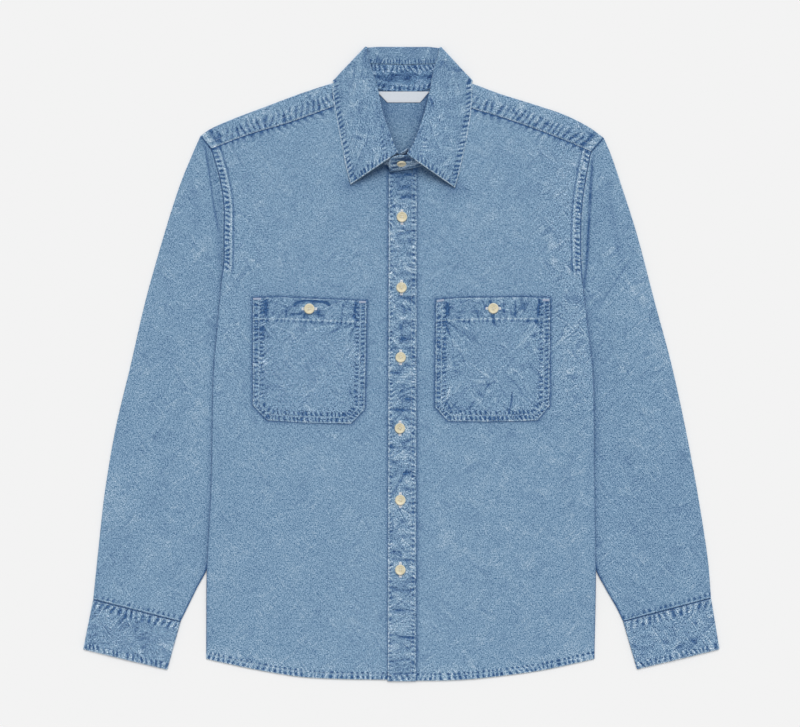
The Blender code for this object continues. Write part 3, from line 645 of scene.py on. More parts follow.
def crinkles(plan, seed, turned=0.6):
    """The fine lines a washed cloth keeps, about -1 to 1."""
    c, s = math.cos(turned), math.sin(turned)
    x, y = plan[..., 0] * c - plan[..., 1] * s, plan[..., 0] * s + plan[..., 1] * c
    first = noise(x / 4.5, y / 15, seed) + noise(x / 17, y / 5, seed + 1) - 1
    return 1.6 * first + 0.8 * (noise(x / 9, y / 9, seed + 2) - 0.5)


def pocket_gap(plan, side):
    """Distance outside a pocket's outline, 0 under the pocket."""
    cut = POCKET[side]
    edge = np.vstack([cut["left"] + cut["right"][::-1], curve(cut["top"])[::-1]])
    gap = near(plan, edge)[0]
    x, y = plan[..., 0], plan[..., 1]
    inside = np.zeros(plan.shape[:2], bool)
    for (x0, y0), (x1, y1) in zip(edge, np.roll(edge, -1, axis=0)):
        if y0 != y1:
            inside ^= ((y0 > y) != (y1 > y)) & (x < (x1 - x0) * (y - y0) / (y1 - y0) + x0)
    return np.where(inside, 0, gap)


front_shells = {}
for side, seed, inward in (("right", 21, -1), ("left", 31, 1)):
    top, bottom = off(curve(YOKE_SEAM[side]), 2.0 * inward), curve(HEM[side])
    outer = np.vstack([top[-1:], arm[side], curve(SIDE[side])[1:]])
    inner = np.vstack([top[:1], curve(NECKLINE[side]), np.array(HEM[side][:1], float)])
    u = spaced(240, 1.8, (0, 16, 1.0))
    v = spaced(680, 2.4, (0, 14, 1.2), (14, 400, 1.6), (668, 680, 1.0))
    if side == "right":
        plan = patch(top[::-1], bottom[::-1], outer, inner, u, v)
    else:
        plan = patch(top, bottom, inner, outer, 1 - u[::-1], v)
    hem_gap, hem_run = near(plan, bottom)
    arm_gap, arm_run = near(plan, arm[side])
    side_gap = near(plan, curve(SIDE[side]))[0]
    yoke_gap, yoke_run = near(plan, curve(YOKE_SEAM[side]))
    hem_rope = roped(hem_gap, hem_run, 6.4, seed, 0.6, 9.0, 1.2, 0.1)
    hem_rope *= 1 - 0.6 * groove(hem_gap, 5.8, 1.1)
    sewn = smooth((reach(arm[side])[-1] - arm_run) / 12)
    arm_rope = roped(arm_gap, arm_run, 5.8, seed + 1, 2.2, ARM_ROW, 1.2, 0.0) * sewn
    yoke_rope = ropes(yoke_run, yoke_gap, 9.0, seed + 2) * smooth(1 - yoke_gap / 14)
    fine = crinkles(plan, seed + 3) * (0.5 + 0.5 * smooth((plan[..., 0] + 40) / 160))
    swell = noise(plan[..., 0] / 75, plan[..., 1] / 110, seed + 4) - 0.5
    fold = creases(plan, FRONT_CREASES[side])
    relief = 0.34 * hem_rope + 0.32 * arm_rope + 0.2 * yoke_rope + 0.08 * fine + fold
    relief += 0.5 * swell * smooth(hem_gap / 30) * smooth(arm_gap / 30)
    relief += sewn * lines(arm_gap, (0.15, 9.5, 1.0), (-0.3, ARM_ROW, 0.8))
    relief -= 0.25 * groove(hem_gap, HEM_ROW)
    pocket = pocket_gap(plan, side)
    placket_gap = np.maximum(abs(plan[..., 0] - 1) - 18, 0)
    relief = np.where(np.minimum(pocket, placket_gap) < 5, np.minimum(relief, 0.2), relief)
    relief += curl(np.minimum(arm_gap, side_gap), 0.7)
    wear_and_shading = 1.6 * worn(hem_rope) + 1.5 * worn(arm_rope) + 0.9 * worn(yoke_rope) + 0.1 * fine
    # The dark row 12 mm from the armhole is painted shadow beside the armhole band
    wear_and_shading += sewn * lines(arm_gap, (0.7, 9.5, 0.9), (0.5, 2.2, 0.8), (-0.8, 12.0, 1.4))
    wear_and_shading += 0.9 * fold - 0.3 * sewn * smooth((8 - arm_gap) / 2)
    # Painted shadow: dark lines in the armhole seam and under the lapped yoke strip; the front is
    # also darker below the strip
    wear_and_shading += lines(arm_gap, (-1.6, 0, 1.2)) + lines(yoke_gap, (-1.5, 0, 1.7), (-0.3, 0, 6))
    # Painted shade along the body's side edges
    painted_side_shade = 0.3 * np.exp(-side_gap / 2.2) + 0.8 * groove(side_gap, 0, 0.9)
    wear_and_shading -= painted_side_shade * smooth((hem_gap - 3) / 6)
    # Painted shadow round the pocket and placket outlines
    for gap, dark, faint in ((pocket, 0.8, 0.2), (placket_gap, 0.6, 0.15)):
        wear_and_shading -= dark * groove(gap, 0, 2.2) + faint * np.exp(-gap / 6)
    leaf_gap = near(plan, np.array(COLLAR_LEAF[side], float))[0]
    # Painted shadow under the collar leaves' front edges
    wear_and_shading += lines(leaf_gap, (-0.45, 0, 5), (-0.25, 0, 16)) - 0.12 * smooth((8 - hem_gap) / 2)
    # The dark line 8 mm from the hem is painted shadow beside its stitch row
    wear_and_shading += lines(hem_gap, (-0.3, 8.0, 1.1), (0.4, 5.7, 0.75), (0.12, 14.5, 5.0))
    base = on_layer(plan, 1)
    base[..., 2] -= 0.75 * smooth((2.5 - yoke_gap) / 2.5)
    # How strongly the painted light and shade of fine wrinkles and the coarse grain show, more
    # towards the arms and hem
    toward_arm = smooth((abs(plan[..., 0]) - 150) / 60) * smooth((plan[..., 1] + 120) / 120)
    pressed = 0.35 + toward_arm * (0.55 if side == "left" else 0.2)
    pressed += 0.3 * smooth((25 - hem_gap) / 15)
    cloth = surface(base, relief, wear_and_shading, hem_gap, crinkle=pressed)
    front_shells[side] = shell(cloth, seed=float(seed))
    front = piece("front_" + side + "_panel", [front_shells[side]], outer_cloth,
                  "front_" + side)
    sew("front_" + side, [front_shells[side]],
        [off(bottom, -HEM_ROW), off(arm[side], -ARM_ROW * inward)])


# Chest pockets
# Patch pockets with two cut corners, sewn on at the sides and bottom with two rows of stitches. The
# wide hem at the opening is stitched down, barred at both ends, and has a buttonhole across it.

POCKET_HEM = 27.0
POCKET_ROWS = (1.8, 8.0)
PATCH_WALL = 0.95
POCKET_CREASES = {
    "left": [
        (-0.6, 5, 57.2, 78.4, 57.9, 59.8), (-0.6, 3.1, 172.2, 82.1, 171, 67.2, 169.7, 58.6),
        (-0.5, 2.5, 142.5, 80.8, 141.9, 68.5, 142.5, 58), (-0.3, 2.2, 127.7, 80.8, 128.3, 58.6),
        (-0.35, 2.2, 99.9, 80.8, 103.6, 72.2, 107.3, 63.5), (-0.25, 1.9, 73.9, 82.1, 73.9, 74.6),
        (-0.5, 3.8, 112.3, 80.8, 109.8, 77.1), (-0.5, 3.8, 113.5, 62.3, 115.3, 52.4, 118.4, 47.4),
        (-0.4, 2.5, 94.9, 63.5, 95.6, 58), (-0.3, 2.5, 66.5, 61, 73.9, 57.3),
        (-0.2, 1.9, 87.5, 74.6, 97.4, 62.3), (-0.3, 1.9, 135.7, 70.9, 138.2, 58.6),
        (-0.4, 3.8, 56.6, 51.2, 59.7, 40), (-0.45, 5, 167.9, 40, 164.2, 32.6),
        (-0.4, 3.8, 165.4, 52.4, 171.6, 54.9), (0.2, 1.6, 73.9, 14.1, 82.6, 20.2),
        (0.3, 1.9, 56.6, 37.6, 70.2, 22.7, 85.1, 2.9, 107.3, -14.4, 120.9, -20.6),
        (0.25, 1.6, 120.9, 4.2, 137, 15.3, 156.8, 33.8, 167.9, 47.4),
        (-0.35, 1.9, 118.4, -21.8, 109.8, -24.3, 103.6, -34.2, 101.7, -47.8),
        (0.25, 1.6, 122.1, -19.3, 107.3, -36.6, 94.9, -49, 85.1, -56.4),
        (-0.4, 2.5, 92.5, -42.8, 83.8, -56.4), (-0.2, 1.9, 62.8, 12.8, 70.2, -19.3),
        (-0.25, 1.9, 75.2, -31.7, 92.5, -26.7, 109.8, -24.3),
        (-0.5, 2.5, 138.2, -34.2, 137, -46.5, 134.5, -57.6),
        (-0.3, 1.9, 125.9, -11.9, 138.2, -19.3, 148.1, -31.7, 150.6, -40.3),
        (0.2, 1.6, 139.5, -3.2, 151.8, -18.1), (-0.4, 1.9, 70.2, -45.3, 60.9, -57),
        (-0.35, 1.9, 55.4, -45.3, 61.6, -55.2), (-0.2, 1.9, 124.6, -31.7, 119.7, -49),
        (-0.35, 1.9, 160.5, 27.7, 153.1, 19), (0.3, 1.5, 167.3, 22.7, 164.2, 12.8),
        (-0.3, 1.9, 80.1, 56.1, 90, 46.2), (-0.2, 1.9, 64, 49.9, 73.9, 41.3, 91.2, 30.1),
    ],
    "right": [
        (-0.6, 5, -169.2, 82.9, -168.6, 57.8), (-0.6, 3.1, -56.9, 80.7, -59.1, 54.9),
        (-0.7, 3, -134.4, 72.1, -132.3, 77.1, -120.1, 79.6, -110, 79.3, -93.5, 76.7, -90.7, 71.4),
        (-0.5, 3.1, -140.2, 61.8, -125.8, 63.5, -123.2, 67.5),
        (-0.35, 2.5, -72, 77.8, -75.6, 54.9), (-0.4, 3.8, -104.3, 68.5, -102.9, 61.3, -94.2, 61.8),
        (-0.35, 1.9, -151.6, 75, -141.6, 70), (-0.5, 2.5, -143.8, 68.5, -143.8, 57.8),
        (-0.35, 1.9, -153.1, 62.8, -152.4, 57),
        (0.35, 1.6, -134.4, 58.5, -127.2, 70, -121.5, 72.1),
        (0.35, 1.6, -107.9, 69.2, -97.1, 72.1, -92.1, 66.4),
        (-0.4, 2.5, -121.5, 63.5, -121.5, 56.3),
        (0.22, 1.6, -81.3, 49.1, -115.8, 42, -130.1, 26.2), (-0.22, 2.2, -61.2, 50.6, -89.9, 39.1),
        (-0.25, 1.9, -173.2, 49.1, -157.4, 27.6), (-0.3, 1.9, -160.3, 77.8, -154.5, 75),
        (-0.25, 1.9, -173.2, 30.5, -161.7, 36.2), (-0.2, 1.9, -170.3, -29.8, -154.5, -24),
        (-0.3, 2.5, -64.1, 34.8, -58.4, 49.1), (-0.35, 3.8, -173.2, 42, -171, 31.9),
    ],
}

# Places where the cloth is held, and the creases that run out from each: their first and last
# direction in degrees, how many, the shortest and the longest
POCKET_FANS = {
    "left": [((48, 62), -75, -20, 15, 12, 44), ((178, 62), 200, 250, 13, 12, 42),
             ((48, -60), 12, 75, 12, 12, 42), ((176, -58), 108, 165, 12, 10, 36),
             ((118, -22), 0, 360, 15, 8, 26), ((52, 0), -30, 35, 7, 8, 22)],
    "right": [((-178, 62), -70, -20, 9, 10, 34), ((-50, 62), 195, 240, 13, 14, 46),
              ((-178, -50), 15, 60, 7, 8, 26), ((-52, -54), 115, 165, 7, 8, 26)],
}


def fans(fans_of, seed):
    """Fine creases, pale and dark in turn, that run out from the places where the cloth is held."""
    draw = np.random.default_rng(seed)
    rows = []
    for middle, first, last, count, shortest, longest in fans_of:
        for k in range(count):
            turn = math.radians(first + (last - first) * (k + draw.random()) / count)
            bent = turn + draw.uniform(-0.25, 0.25) * np.linspace(0, 1, 4)
            run = draw.uniform(7, 15) + draw.uniform(shortest, longest) * np.linspace(0, 1, 4)
            line = np.array(middle) + run[:, None] * np.column_stack([np.cos(bent), np.sin(bent)])
            height = (0.24 if k % 2 else -0.24) * draw.uniform(0.6, 1.2)
            rows.append((height, 1.6, *line.ravel()))
    return rows


pocket_shells = {}
for side, seed in (("right", 41), ("left", 51)):
    cut = {key: np.array(points, float) for key, points in POCKET[side].items()}
    top = curve(cut["top"])
    low_ends = cut["left"][-1], cut["right"][-1]
    bottom = curve([low_ends[0], sum(low_ends) / 2 + (0, -1.2), low_ends[1]])
    u = spaced(143, 1.0, (0, 2, 0.5), (141, 143, 0.5))
    v = spaced(160, 1.0, (0, 2, 0.5), (158, 160, 0.5))
    plan = patch(top, bottom, cut["left"], cut["right"], u, v)
    edge = np.vstack([cut["left"], bottom[1:-1], cut["right"][::-1]])
    gap, run = near(plan, edge)
    top_gap, top_run = near(plan, top)
    edge_gap = np.minimum(gap, top_gap)
    sewn_on = roped(gap, run, 5.4, seed, 1.6, 6.4, 1.2)
    sewn_on += roped(gap, run, 5.6, seed + 2, 9.2, 12.4, 3)
    sewn_on *= smooth((top_gap - 3) / 3)
    hem_rope = ropes(top_run, top_gap, 6.5, seed + 4) * groove(top_gap, POCKET_HEM + 1, 3.5)
    hem_rope *= smooth((gap - 9) / 5)
    turned = 0.5 * smooth((POCKET_HEM - 1 - top_gap) / 2) * smooth((gap - 8) / 4)
    fine = crinkles(plan, seed + 6, 0.6 if side == "left" else 2.4)
    fold = creases(plan, POCKET_CREASES[side] + fans(POCKET_FANS[side], seed + 8))
    relief = 0.36 * sewn_on + 0.3 * hem_rope + 0.09 * fine + 0.8 * fold + curl(edge_gap, 0.7)
    relief += lines(gap, (-0.25, POCKET_ROWS[0], 0.5), (-0.25, POCKET_ROWS[1], 0.6))
    relief -= 0.25 * groove(top_gap, POCKET_HEM, 0.7) + 0.25 * smooth((9 - gap) / 8)
    wear_and_shading = worn(sewn_on) + worn(hem_rope) + 0.08 * fine + np.where(fold < 0, 2.2, 1.4) * fold - 0.07
    wear_and_shading += lines(gap, (0.35, POCKET_ROWS[1], 1.0))
    # The dark line at the pocket's outline is painted shadow of its edge
    wear_and_shading += lines(edge_gap, (0.5, 1.2, 0.6), (-2.6, 0, 0.5))
    wear_and_shading += lines(top_gap, (0.45, POCKET_HEM, 1.0), (-0.4, POCKET_HEM + 3, 1.6))
    wear_and_shading -= 0.3 * smooth((16 - gap) / 3) + 0.1 * smooth((POCKET_HEM - top_gap) / 3)
    cloth = surface(on_layer(plan, 2), relief, wear_and_shading, edge_gap, turned,
                    crinkle=0.65 + 0.4 * smooth((22 - gap) / 8))
    pocket_shells[side] = shell(cloth, wall=PATCH_WALL, seed=float(seed))
    pocket = piece("pocket_" + side + "_patch", [pocket_shells[side]], outer_cloth,
                   "pocket_" + side)
    hem_row = at(top, np.linspace(0.012, 0.988, 30)) - (0, POCKET_HEM)
    sew("pocket_" + side, [pocket_shells[side]], [off(edge, d) for d in POCKET_ROWS] + [hem_row])


# Placket
# The left front's edge is turned to a 36 mm strip with a row of stitches down each side. Washing
# has roped both rows and left dark bars across the strip, more of them from its right side.

PLACKET_LEFT = [(-16.5, 238.5), (-16.5, 100), (-17, -100), (-17.5, -395.4)]
PLACKET_RIGHT = [(19.5, 238.5), (19, 100), (18.5, -100), (18, -395.4)]
PLACKET_ROW = 1.8
PLACKET_CREASES = [
    (-0.14, 16, -8, 224, 12, 224), (-0.1, 12, -4, 152.5, 12, 150), (-0.1, 8, -2, 84, 13, 84),
    (-0.14, 13, 2, 40, 13, 40), (-0.1, 8, 4, 25, 13, 22), (-0.15, 13, 2, -47, 13, -48),
    # The first crease on the next line lies just under the collar stand; its darkening is painted
    # shadow
    (-0.4, 3, -12, 233, 17, 238), (-0.5, 3.8, -1.8, 208.7, 17, 209.1),
    (-0.35, 3.8, -11.8, 198, 1.9, 197.4), (-0.3, 2.5, 12, 195.5, 15.1, 192.4),
    (-0.2, 2.5, -7.5, 190.5, -8.7, 180.5), (-0.3, 2.5, -13.1, 179.2, -7.5, 173),
    (-0.45, 3.8, -8.1, 160.5, 3.2, 164.2, 17, 167.3), (-0.3, 2.5, -11.8, 152.3, -8.7, 151.1),
    (-0.35, 5, 8.2, 151.7, 14.5, 151.7), (-0.45, 3.1, -13.1, 141.4, 1.3, 141.9),
    (-0.3, 3.8, 1.9, 140.4, 14.5, 139.2), (-0.4, 3.8, 5.7, 124.1, 15.1, 123.5),
    (-0.3, 1.9, 0.7, 135.4, 0.7, 114.1), (-0.25, 2.5, -11.8, 114.7, -4.3, 114.1),
    (-0.4, 3.8, 6.9, 114.7, 15.7, 111.6), (-0.5, 5, -5.6, 84.1, 15.1, 82.8),
    (-0.35, 3.1, -3.1, 76.5, 3.8, 70.3, 13.8, 68.4), (-0.25, 1.9, 3.8, 71.5, 3.8, 60.3),
    (-0.45, 5, 0.7, 52.1, 15.1, 52.1), (-0.3, 2.5, 6.9, 90.3, 15.7, 91.6),
    (-0.5, 5.6, -4.4, 31.2, 15, 31.2), (-0.3, 3.8, -0.8, 51.3, 0.6, 32.7),
    (-0.25, 2.5, -14.5, 20.5, 15, 21.2), (-0.3, 5, 1.3, 0.4, 15, -1.8),
    (-0.4, 3.8, -15.2, -9.7, -0.8, -10.7), (-0.35, 3.1, 7.8, -16.8, 15, -15.4),
    (-0.45, 2.5, -14.5, -40.2, 2, -32.6, 15, -27.9), (-0.4, 6.2, 3.5, -43.4, 15, -44.1),
    (-0.25, 1.9, 1.3, -33.4, 1.3, -59.2), (-0.5, 3.8, -15.2, -55.6, 17.1, -57.8),
    (-0.35, 2.5, -11.6, -71.4, 1.3, -59.2), (-0.4, 3.8, 2.8, -68.5, 13.5, -69.5),
    (-0.25, 2.5, -14.5, -76.4, -5.9, -78.6), (-0.45, 3.8, -1.6, -98.7, 14.2, -92.9),
    (-0.45, 6.2, -15.9, -101.5, -8.7, -103.7), (-0.35, 3.8, 2, -105.1, 15, -104.4),
    (-0.4, 3.8, -15.9, -123, -5.1, -121.2, 15, -118.7), (-0.45, 3.8, 2, -136, 14.2, -134.5),
    (-0.4, 2.2, 11.4, -120.2, 1.3, -141, -7.3, -153.9, -14.5, -166.8),
    (-0.3, 2.5, -3.7, -129.5, -11.6, -142.4),
    (-0.35, 3.8, -1.6, -155.3, 7.1, -155.3, 14.2, -159.6),
    (-0.35, 2.5, -15.7, -184.5, -10.4, -199.7, -14.2, -210.3),
    (-0.35, 3.1, 2.5, -202, 14.6, -202.4), (-0.35, 3.8, 1.7, -214.8, 13.8, -215.6),
    (-0.4, 2.5, -16.5, -233, 1.7, -233.8, 14.6, -231.8), (-0.5, 3.1, -15.7, -243.6, 13.8, -243.6),
    (-0.45, 5, -14.9, -279.2, 3.2, -282.3, 15.4, -283), (-0.3, 5, 1.7, -273.9, 13.8, -270.1),
    (-0.3, 2.5, -14.9, -284.5, -11.9, -290.6), (-0.4, 3.1, -16, -306.5, 13.8, -306.5),
    (-0.35, 2.5, -14.9, -336.8, -4.3, -337.6), (-0.55, 4.4, -5.9, -339.8, 16.9, -340.6),
    (-0.35, 2.5, 4.8, -353, 14.6, -353), (-0.4, 3.1, -16.5, -370.9, 13.8, -367.1),
    (-0.5, 2.5, -16.5, -386, 15.4, -386), (-0.25, 1.9, 4, -190.6, 13.8, -181.5),
]

left_edge, right_edge = curve(PLACKET_LEFT), curve(PLACKET_RIGHT)
placket_ends = [np.array([left_edge[k], right_edge[k]]) for k in (0, -1)]
plan = patch(placket_ends[0], placket_ends[1], left_edge, right_edge,
             spaced(36, 1.0, (0, 2, 0.5), (34, 36, 0.5)), spaced(635, 1.05, (633, 635, 0.5)))
left_gap, left_run = near(plan, left_edge)
right_gap, right_run = near(plan, right_edge)
hem_gap, hem_run = near(plan, placket_ends[1])
ticks = roped(left_gap, left_run, 5.6, 61, 1.6, 4.4)
ticks += roped(right_gap, right_run, 5.6, 63, 1.6, 5.5, 3)
ticks += roped(hem_gap, hem_run, 8.0, 65, 1.5, 8, 1.5)
bars = np.clip(3.4 * (noise(plan[..., 0] / 14, plan[..., 1] / 3.6, 67) - 0.58), -0.25, 1)
bars *= smooth((plan[..., 0] + 22) / 26) * 0.45
fine = crinkles(plan, 68, 0.9)
fold = creases(plan, PLACKET_CREASES)
edge_gap = np.minimum(np.minimum(left_gap, right_gap), hem_gap)
relief = 0.3 * ticks - 0.3 * bars + 0.1 * fine + 0.9 * fold + curl(edge_gap, 0.7)
relief -= 0.25 * (groove(left_gap, PLACKET_ROW, 0.5) + groove(right_gap, PLACKET_ROW, 0.5))
wear_and_shading = worn(ticks) - 0.7 * bars + 0.25 * fine + 2.0 * fold + 0.03
# Dark lines at both edges are painted shadow; the pale line inside the left edge is a painted
# highlight
wear_and_shading += lines(left_gap, (-2.4, 0, 0.5), (0.6, 1.3, 0.6)) + lines(right_gap, (-1.8, 0, 0.5))
# Painted shadow in the crevice under the collar stand; above 205 mm the strip darkens towards the
# collar
wear_and_shading -= 1.2 * groove(plan[..., 1], 240, 3.5) + 0.4 * smooth((plan[..., 1] - 205) / 25)
cloth = surface(on_layer(plan, 2), relief, wear_and_shading, edge_gap, 0.35, crinkle=0.9)
placket_shell = shell(cloth, wall=PATCH_WALL, seed=6.0)
placket = piece("placket_strip", [placket_shell], outer_cloth, "placket")
sew("placket", [placket_shell], [off(left_edge, PLACKET_ROW), off(right_edge, -PLACKET_ROW),
                                 off(right_edge, -6.2), placket_ends[1] + (0, 8.0)])


# Collar stand
# A band of two layers sewn round the neckline. It lies flat inside the back neck, folds at both
# sides of the neck, and stands up towards the front, where its ends lap and button.

# Sections round the neck: seam x, y and rise; roll x, y and rise; the stand's share of that width;
# the fall's edge x, y and rise. Rises are heights above the laid layers.
RIGHT_FRONT = [
    (-72.5, 343, 0, -43, 385.5, 0, 0.60, -86, 341, 0),
    (-74, 327, 0, -38, 368, 0.5, 0.68, -83, 318, 0),
    (-71, 309.5, 0, -30.5, 342, 2, 0.74, -78.5, 294, 0),
    (-62, 289.5, 0, -24, 312, 6, 0.80, -74, 271, 0.3),
    (-45.5, 268, 0, -15.5, 288, 12, 0.86, -69.5, 248, 0.8),
    (-27, 253, 0, -9.5, 271, 18, 0.90, -66, 234, 1.4),
    (-14.5, 247.5, 0, -4.8, 262.5, 23, 0.94, -63.5, 224.5, 2),
]
RIGHT_END = [
    (-5, 246.3, 0, -1, 262.2, 21.8, 1, 0, 0, 0),
    (4, 246.5, 0, 3.5, 264.8, 21.5, 1, 0, 0, 0),
    (11, 249, 0, 8, 268.5, 16, 1, 0, 0, 0),
]
LEFT_FRONT = [
    (77.5, 343, 0, 46.5, 384.5, 0, 0.60, 88, 341, 0),
    (78, 327, 0, 41, 367, 0.5, 0.68, 87, 320, 0),
    (75.5, 309.5, 0, 36.5, 342, 2, 0.74, 84, 297, 0),
    (65.5, 288, 0, 29, 311, 6, 0.80, 79.5, 273, 0.3),
    (49.5, 267, 0, 20, 285.5, 12, 0.86, 74.5, 250.5, 0.8),
    (32, 252, 0.4, 13.5, 269.5, 18, 0.90, 70.5, 234, 1.4),
    (19.5, 246, 1.3, 7, 260, 23, 0.94, 66.5, 220.5, 2),
]
LEFT_END = [
    (2, 242.5, 1.5, -2, 258.5, 23, 1, 0, 0, 0),
    (-9.5, 241, 1.5, -12.5, 256, 19.5, 1, 0, 0, 0),
    (-14.5, 240.3, 1.5, -17, 250.5, 12.5, 1, 0, 0, 0),
]
BACK_COLLAR = [
    (45.5, 348, 0, 34.5, 395.5, 0, 0.565, 62, 359, 0),
    (24.5, 341.4, 0, 19.5, 395.5, 0, 0.61, 31, 360, 0),
    (2, 341, 0, 2, 395.5, 0, 0.60, 2, 360.5, 0),
    (-20.5, 341.4, 0, -15, 395.5, 0, 0.61, -27, 360, 0),
    (-42, 348, 0, -30, 395.5, 0, 0.565, -58, 359, 0),
]
RIGHT_CREASE = (-68, 356, 0, -43.5, 394.6, 0, 0.52, -85, 352.5, 0)
LEFT_CREASE = (73, 356, 0, 48, 394, 0, 0.52, 88, 352.5, 0)


def neck_ring(left_run, right_run):
    """Sections and turns from the left front, under the back at turn -90, to the right front."""
    sections, turns = [], []
    runs = ((left_run, 90, 90), ([LEFT_CREASE, LEFT_CREASE], 90, -90),
            ([LEFT_CREASE] + BACK_COLLAR + [RIGHT_CREASE], -90, -90),
            ([RIGHT_CREASE, RIGHT_CREASE], -90, 90), (right_run, 90, 90))
    for rows, start, end in runs:
        line = curve(rows)
        count = 12 if start != end else int(reach(line)[-1] / 1.9)
        shares = np.linspace(0, 1, count, endpoint=False)
        sections.append(at(line, shares) if start == end else np.repeat(line[:1], count, axis=0))
        turns.append(start + (end - start) * shares)
    return np.vstack(sections + [line[-1:]]), np.radians(np.append(np.concatenate(turns), end))


def outward(start, end):
    """Plan directions away from the neck, square to creases from start to end."""
    return left_of(end - start) * np.where(start[:, :1] < 0, 1, -1)


def folded(place, low, high, out, turn):
    """Points on the half circles from the under layer (turn -90) to the upper one (turn 90)."""
    half = (high - low) / 2
    flat = place + out * (half * np.cos(turn))[..., None]
    return np.dstack([flat, (low + high) / 2 + half * np.sin(turn)])


def neck_band(rows, turn, share):
    """Middle of the band, from the neck seam (share 0) to the roll (share 1)."""
    seam, roll = rows[:, None, 0:2], rows[:, None, 3:5]
    rise = rows[:, 2:3] + (rows[:, 5:6] - rows[:, 2:3]) * share
    low = np.full(rise.shape, LAYER + WALL / 2)
    return folded(seam + (roll - seam) * share[..., None], low, 2 * LAYER + WALL / 2 + rise,
                  outward(rows[:, 0:2], rows[:, 3:5])[:, None], turn[:, None])


def spread(grid, axis):
    """How far along its rows (axis 1) or columns (axis 0) each point of a grid is."""
    steps = np.diff(grid, axis=axis, prepend=grid.take([0], axis))
    return np.cumsum(np.linalg.norm(steps, axis=2), axis)


rows, turn = neck_ring(LEFT_END[::-1] + LEFT_FRONT[::-1] + [LEFT_CREASE],
                       [RIGHT_CREASE] + RIGHT_FRONT + RIGHT_END)
share = np.linspace(0, 1, 29)[None] * rows[:, 6:7]
grid = neck_band(rows, turn, share).transpose(1, 0, 2)
along, up = spread(grid, 1), spread(grid, 0)
left_over = up[-1:] - up
along = np.broadcast_to(along[len(along) // 2], along.shape)
lower = roped(up, along, 6.0, 71, 1.5, 6, 3)
upper = roped(left_over, along, 6.5, 73, 0.5, 7, 4)
middle = np.clip(3.5 * (noise(along / 9, up / 3.5, 75) - 0.5), -1, 1)
middle *= smooth(up / 5) * smooth(left_over / 5)
dark_row = groove(left_over, 15, 3.2)
base = grid + facing(grid, False) * WALL / 2
side_gap = np.minimum(along, along[:, -1:] - along)
open_top = rows[None, :, 6] > 0.97
edge_out = np.minimum(np.minimum(up, side_gap), np.where(open_top, left_over, NO_EDGE))
weave = np.dstack([along, up])
relief = 0.3 * (lower + upper) + 0.2 * middle - 0.35 * dark_row
wear_and_shading = worn(lower) + worn(upper) + 0.35 * middle - 0.95 * dark_row
inside = surface(base, relief, wear_and_shading, NO_EDGE, 0.35, weave, 1.0)
outside = surface(base, 0.2 * middle + curl(edge_out), 1.2 * middle + 0.05, edge_out, 0.3, weave,
                  0.8)
stand_shell = shell(inside, coarse=1, seed=7.0, under=outside)
stand = piece("collar_stand_band", [stand_shell], shaded_inner_cloth, "collar_stand")


# Neck label
# A narrow white tape of woven satin with slanted ends. It is caught in the seam under the back of
# the collar stand and sewn down along its lower edge.

LABEL_TOP = np.array([(-31, 340.7), (35, 340.7)])
LABEL_BOTTOM = np.array([(-17.5, 327), (23, 327)])
LABEL_WALL = 0.6


def woven_tape():
    """Satin tape: fine close white threads along its length."""
    made, tree, shader = new_material("label_tape", 0.55)
    weave = add_node(tree, "Attribute", attribute_name="weave").outputs["Vector"]
    scaled = add_vector(tree, "MULTIPLY", weave, (0.5, 3.0, 1.0))
    threads = add_node(tree, "TexNoise", {"Vector": scaled, "Scale": 1.0, "Detail": 2.0}).outputs[0]
    shade = add_node(tree, "MixRGB", {0: threads, 1: linear(194, 201, 210),
                                      2: linear(219, 225, 232)})
    dress(tree, shader, shade.outputs[0], threads, 0.0002, 0.4, {"Sheen Weight": 0.1})
    return made


plan = patch(LABEL_TOP, LABEL_BOTTOM, *np.stack([LABEL_TOP, LABEL_BOTTOM], axis=1),
             spaced(64, 1.0), spaced(13, 0.8))
gap = near(plan, LABEL_BOTTOM)[0]
relief = 0.25 * (noise(plan[..., 0] / 14, plan[..., 1] / 11, 77) - 0.5) + curl(gap, 0.4)
relief -= 0.12 * groove(gap, 1.6, 0.5)
label_shell = shell(surface(on_layer(plan, 1), relief), wall=LABEL_WALL)
label = piece("neck_label_tape", [label_shell], woven_tape(), "neck_label")


# Collar fall
# Two layers of chambray sewn to the top of the stand. The fall rolls over it, lies back on the
# shoulders, and ends in two pointed leaves, edge-stitched all round and roped along the edges.

ROLL_EASE = 0.6
MOST_COVERED = 0.9

rows, turn = neck_ring(LEFT_FRONT[::-1] + [LEFT_CREASE], [RIGHT_CREASE] + RIGHT_FRONT)
seam, roll, edge = rows[:, 0:2], rows[:, 3:5], rows[:, 7:9]
one = np.ones((len(rows), 1))
width = np.linalg.norm(neck_band(rows, turn, one) - neck_band(rows, turn, 0 * one), axis=2)
start = rows[:, 6:7] + 0.3 / width
rising = neck_band(rows, turn, start + (1 - start) * np.linspace(0, 1, 13)[None])
inner = rising[:, -1]
up = unit(inner - neck_band(rows, turn, 0.9 * one)[:, 0])
away = np.column_stack([outward(seam, roll) * np.cos(turn)[:, None], np.sin(turn)])
away = unit(away - up * (away * up).sum(axis=1, keepdims=True))
over = (1 + np.sin(turn)) / 2
apart = (LAYER + ROLL_EASE * over)[:, None]
outer = inner + away * apart
angle = np.linspace(0, math.pi, 10)[None, 1:-1, None]
rounded = ((inner + outer) / 2)[:, None] + (
    up[:, None] * np.sin(angle) - away[:, None] * np.cos(angle)) * apart[:, None] / 2
end = folded(edge[:, None], np.full((len(rows), 1), WALL / 2), 2 * LAYER + WALL / 2 + rows[:, 9:10],
             outward(edge, roll)[:, None], turn[:, None])
covered = ((seam - roll) * (edge - roll)).sum(axis=1) / ((edge - roll) ** 2).sum(axis=1)
covered = np.minimum(covered, MOST_COVERED)[:, None]
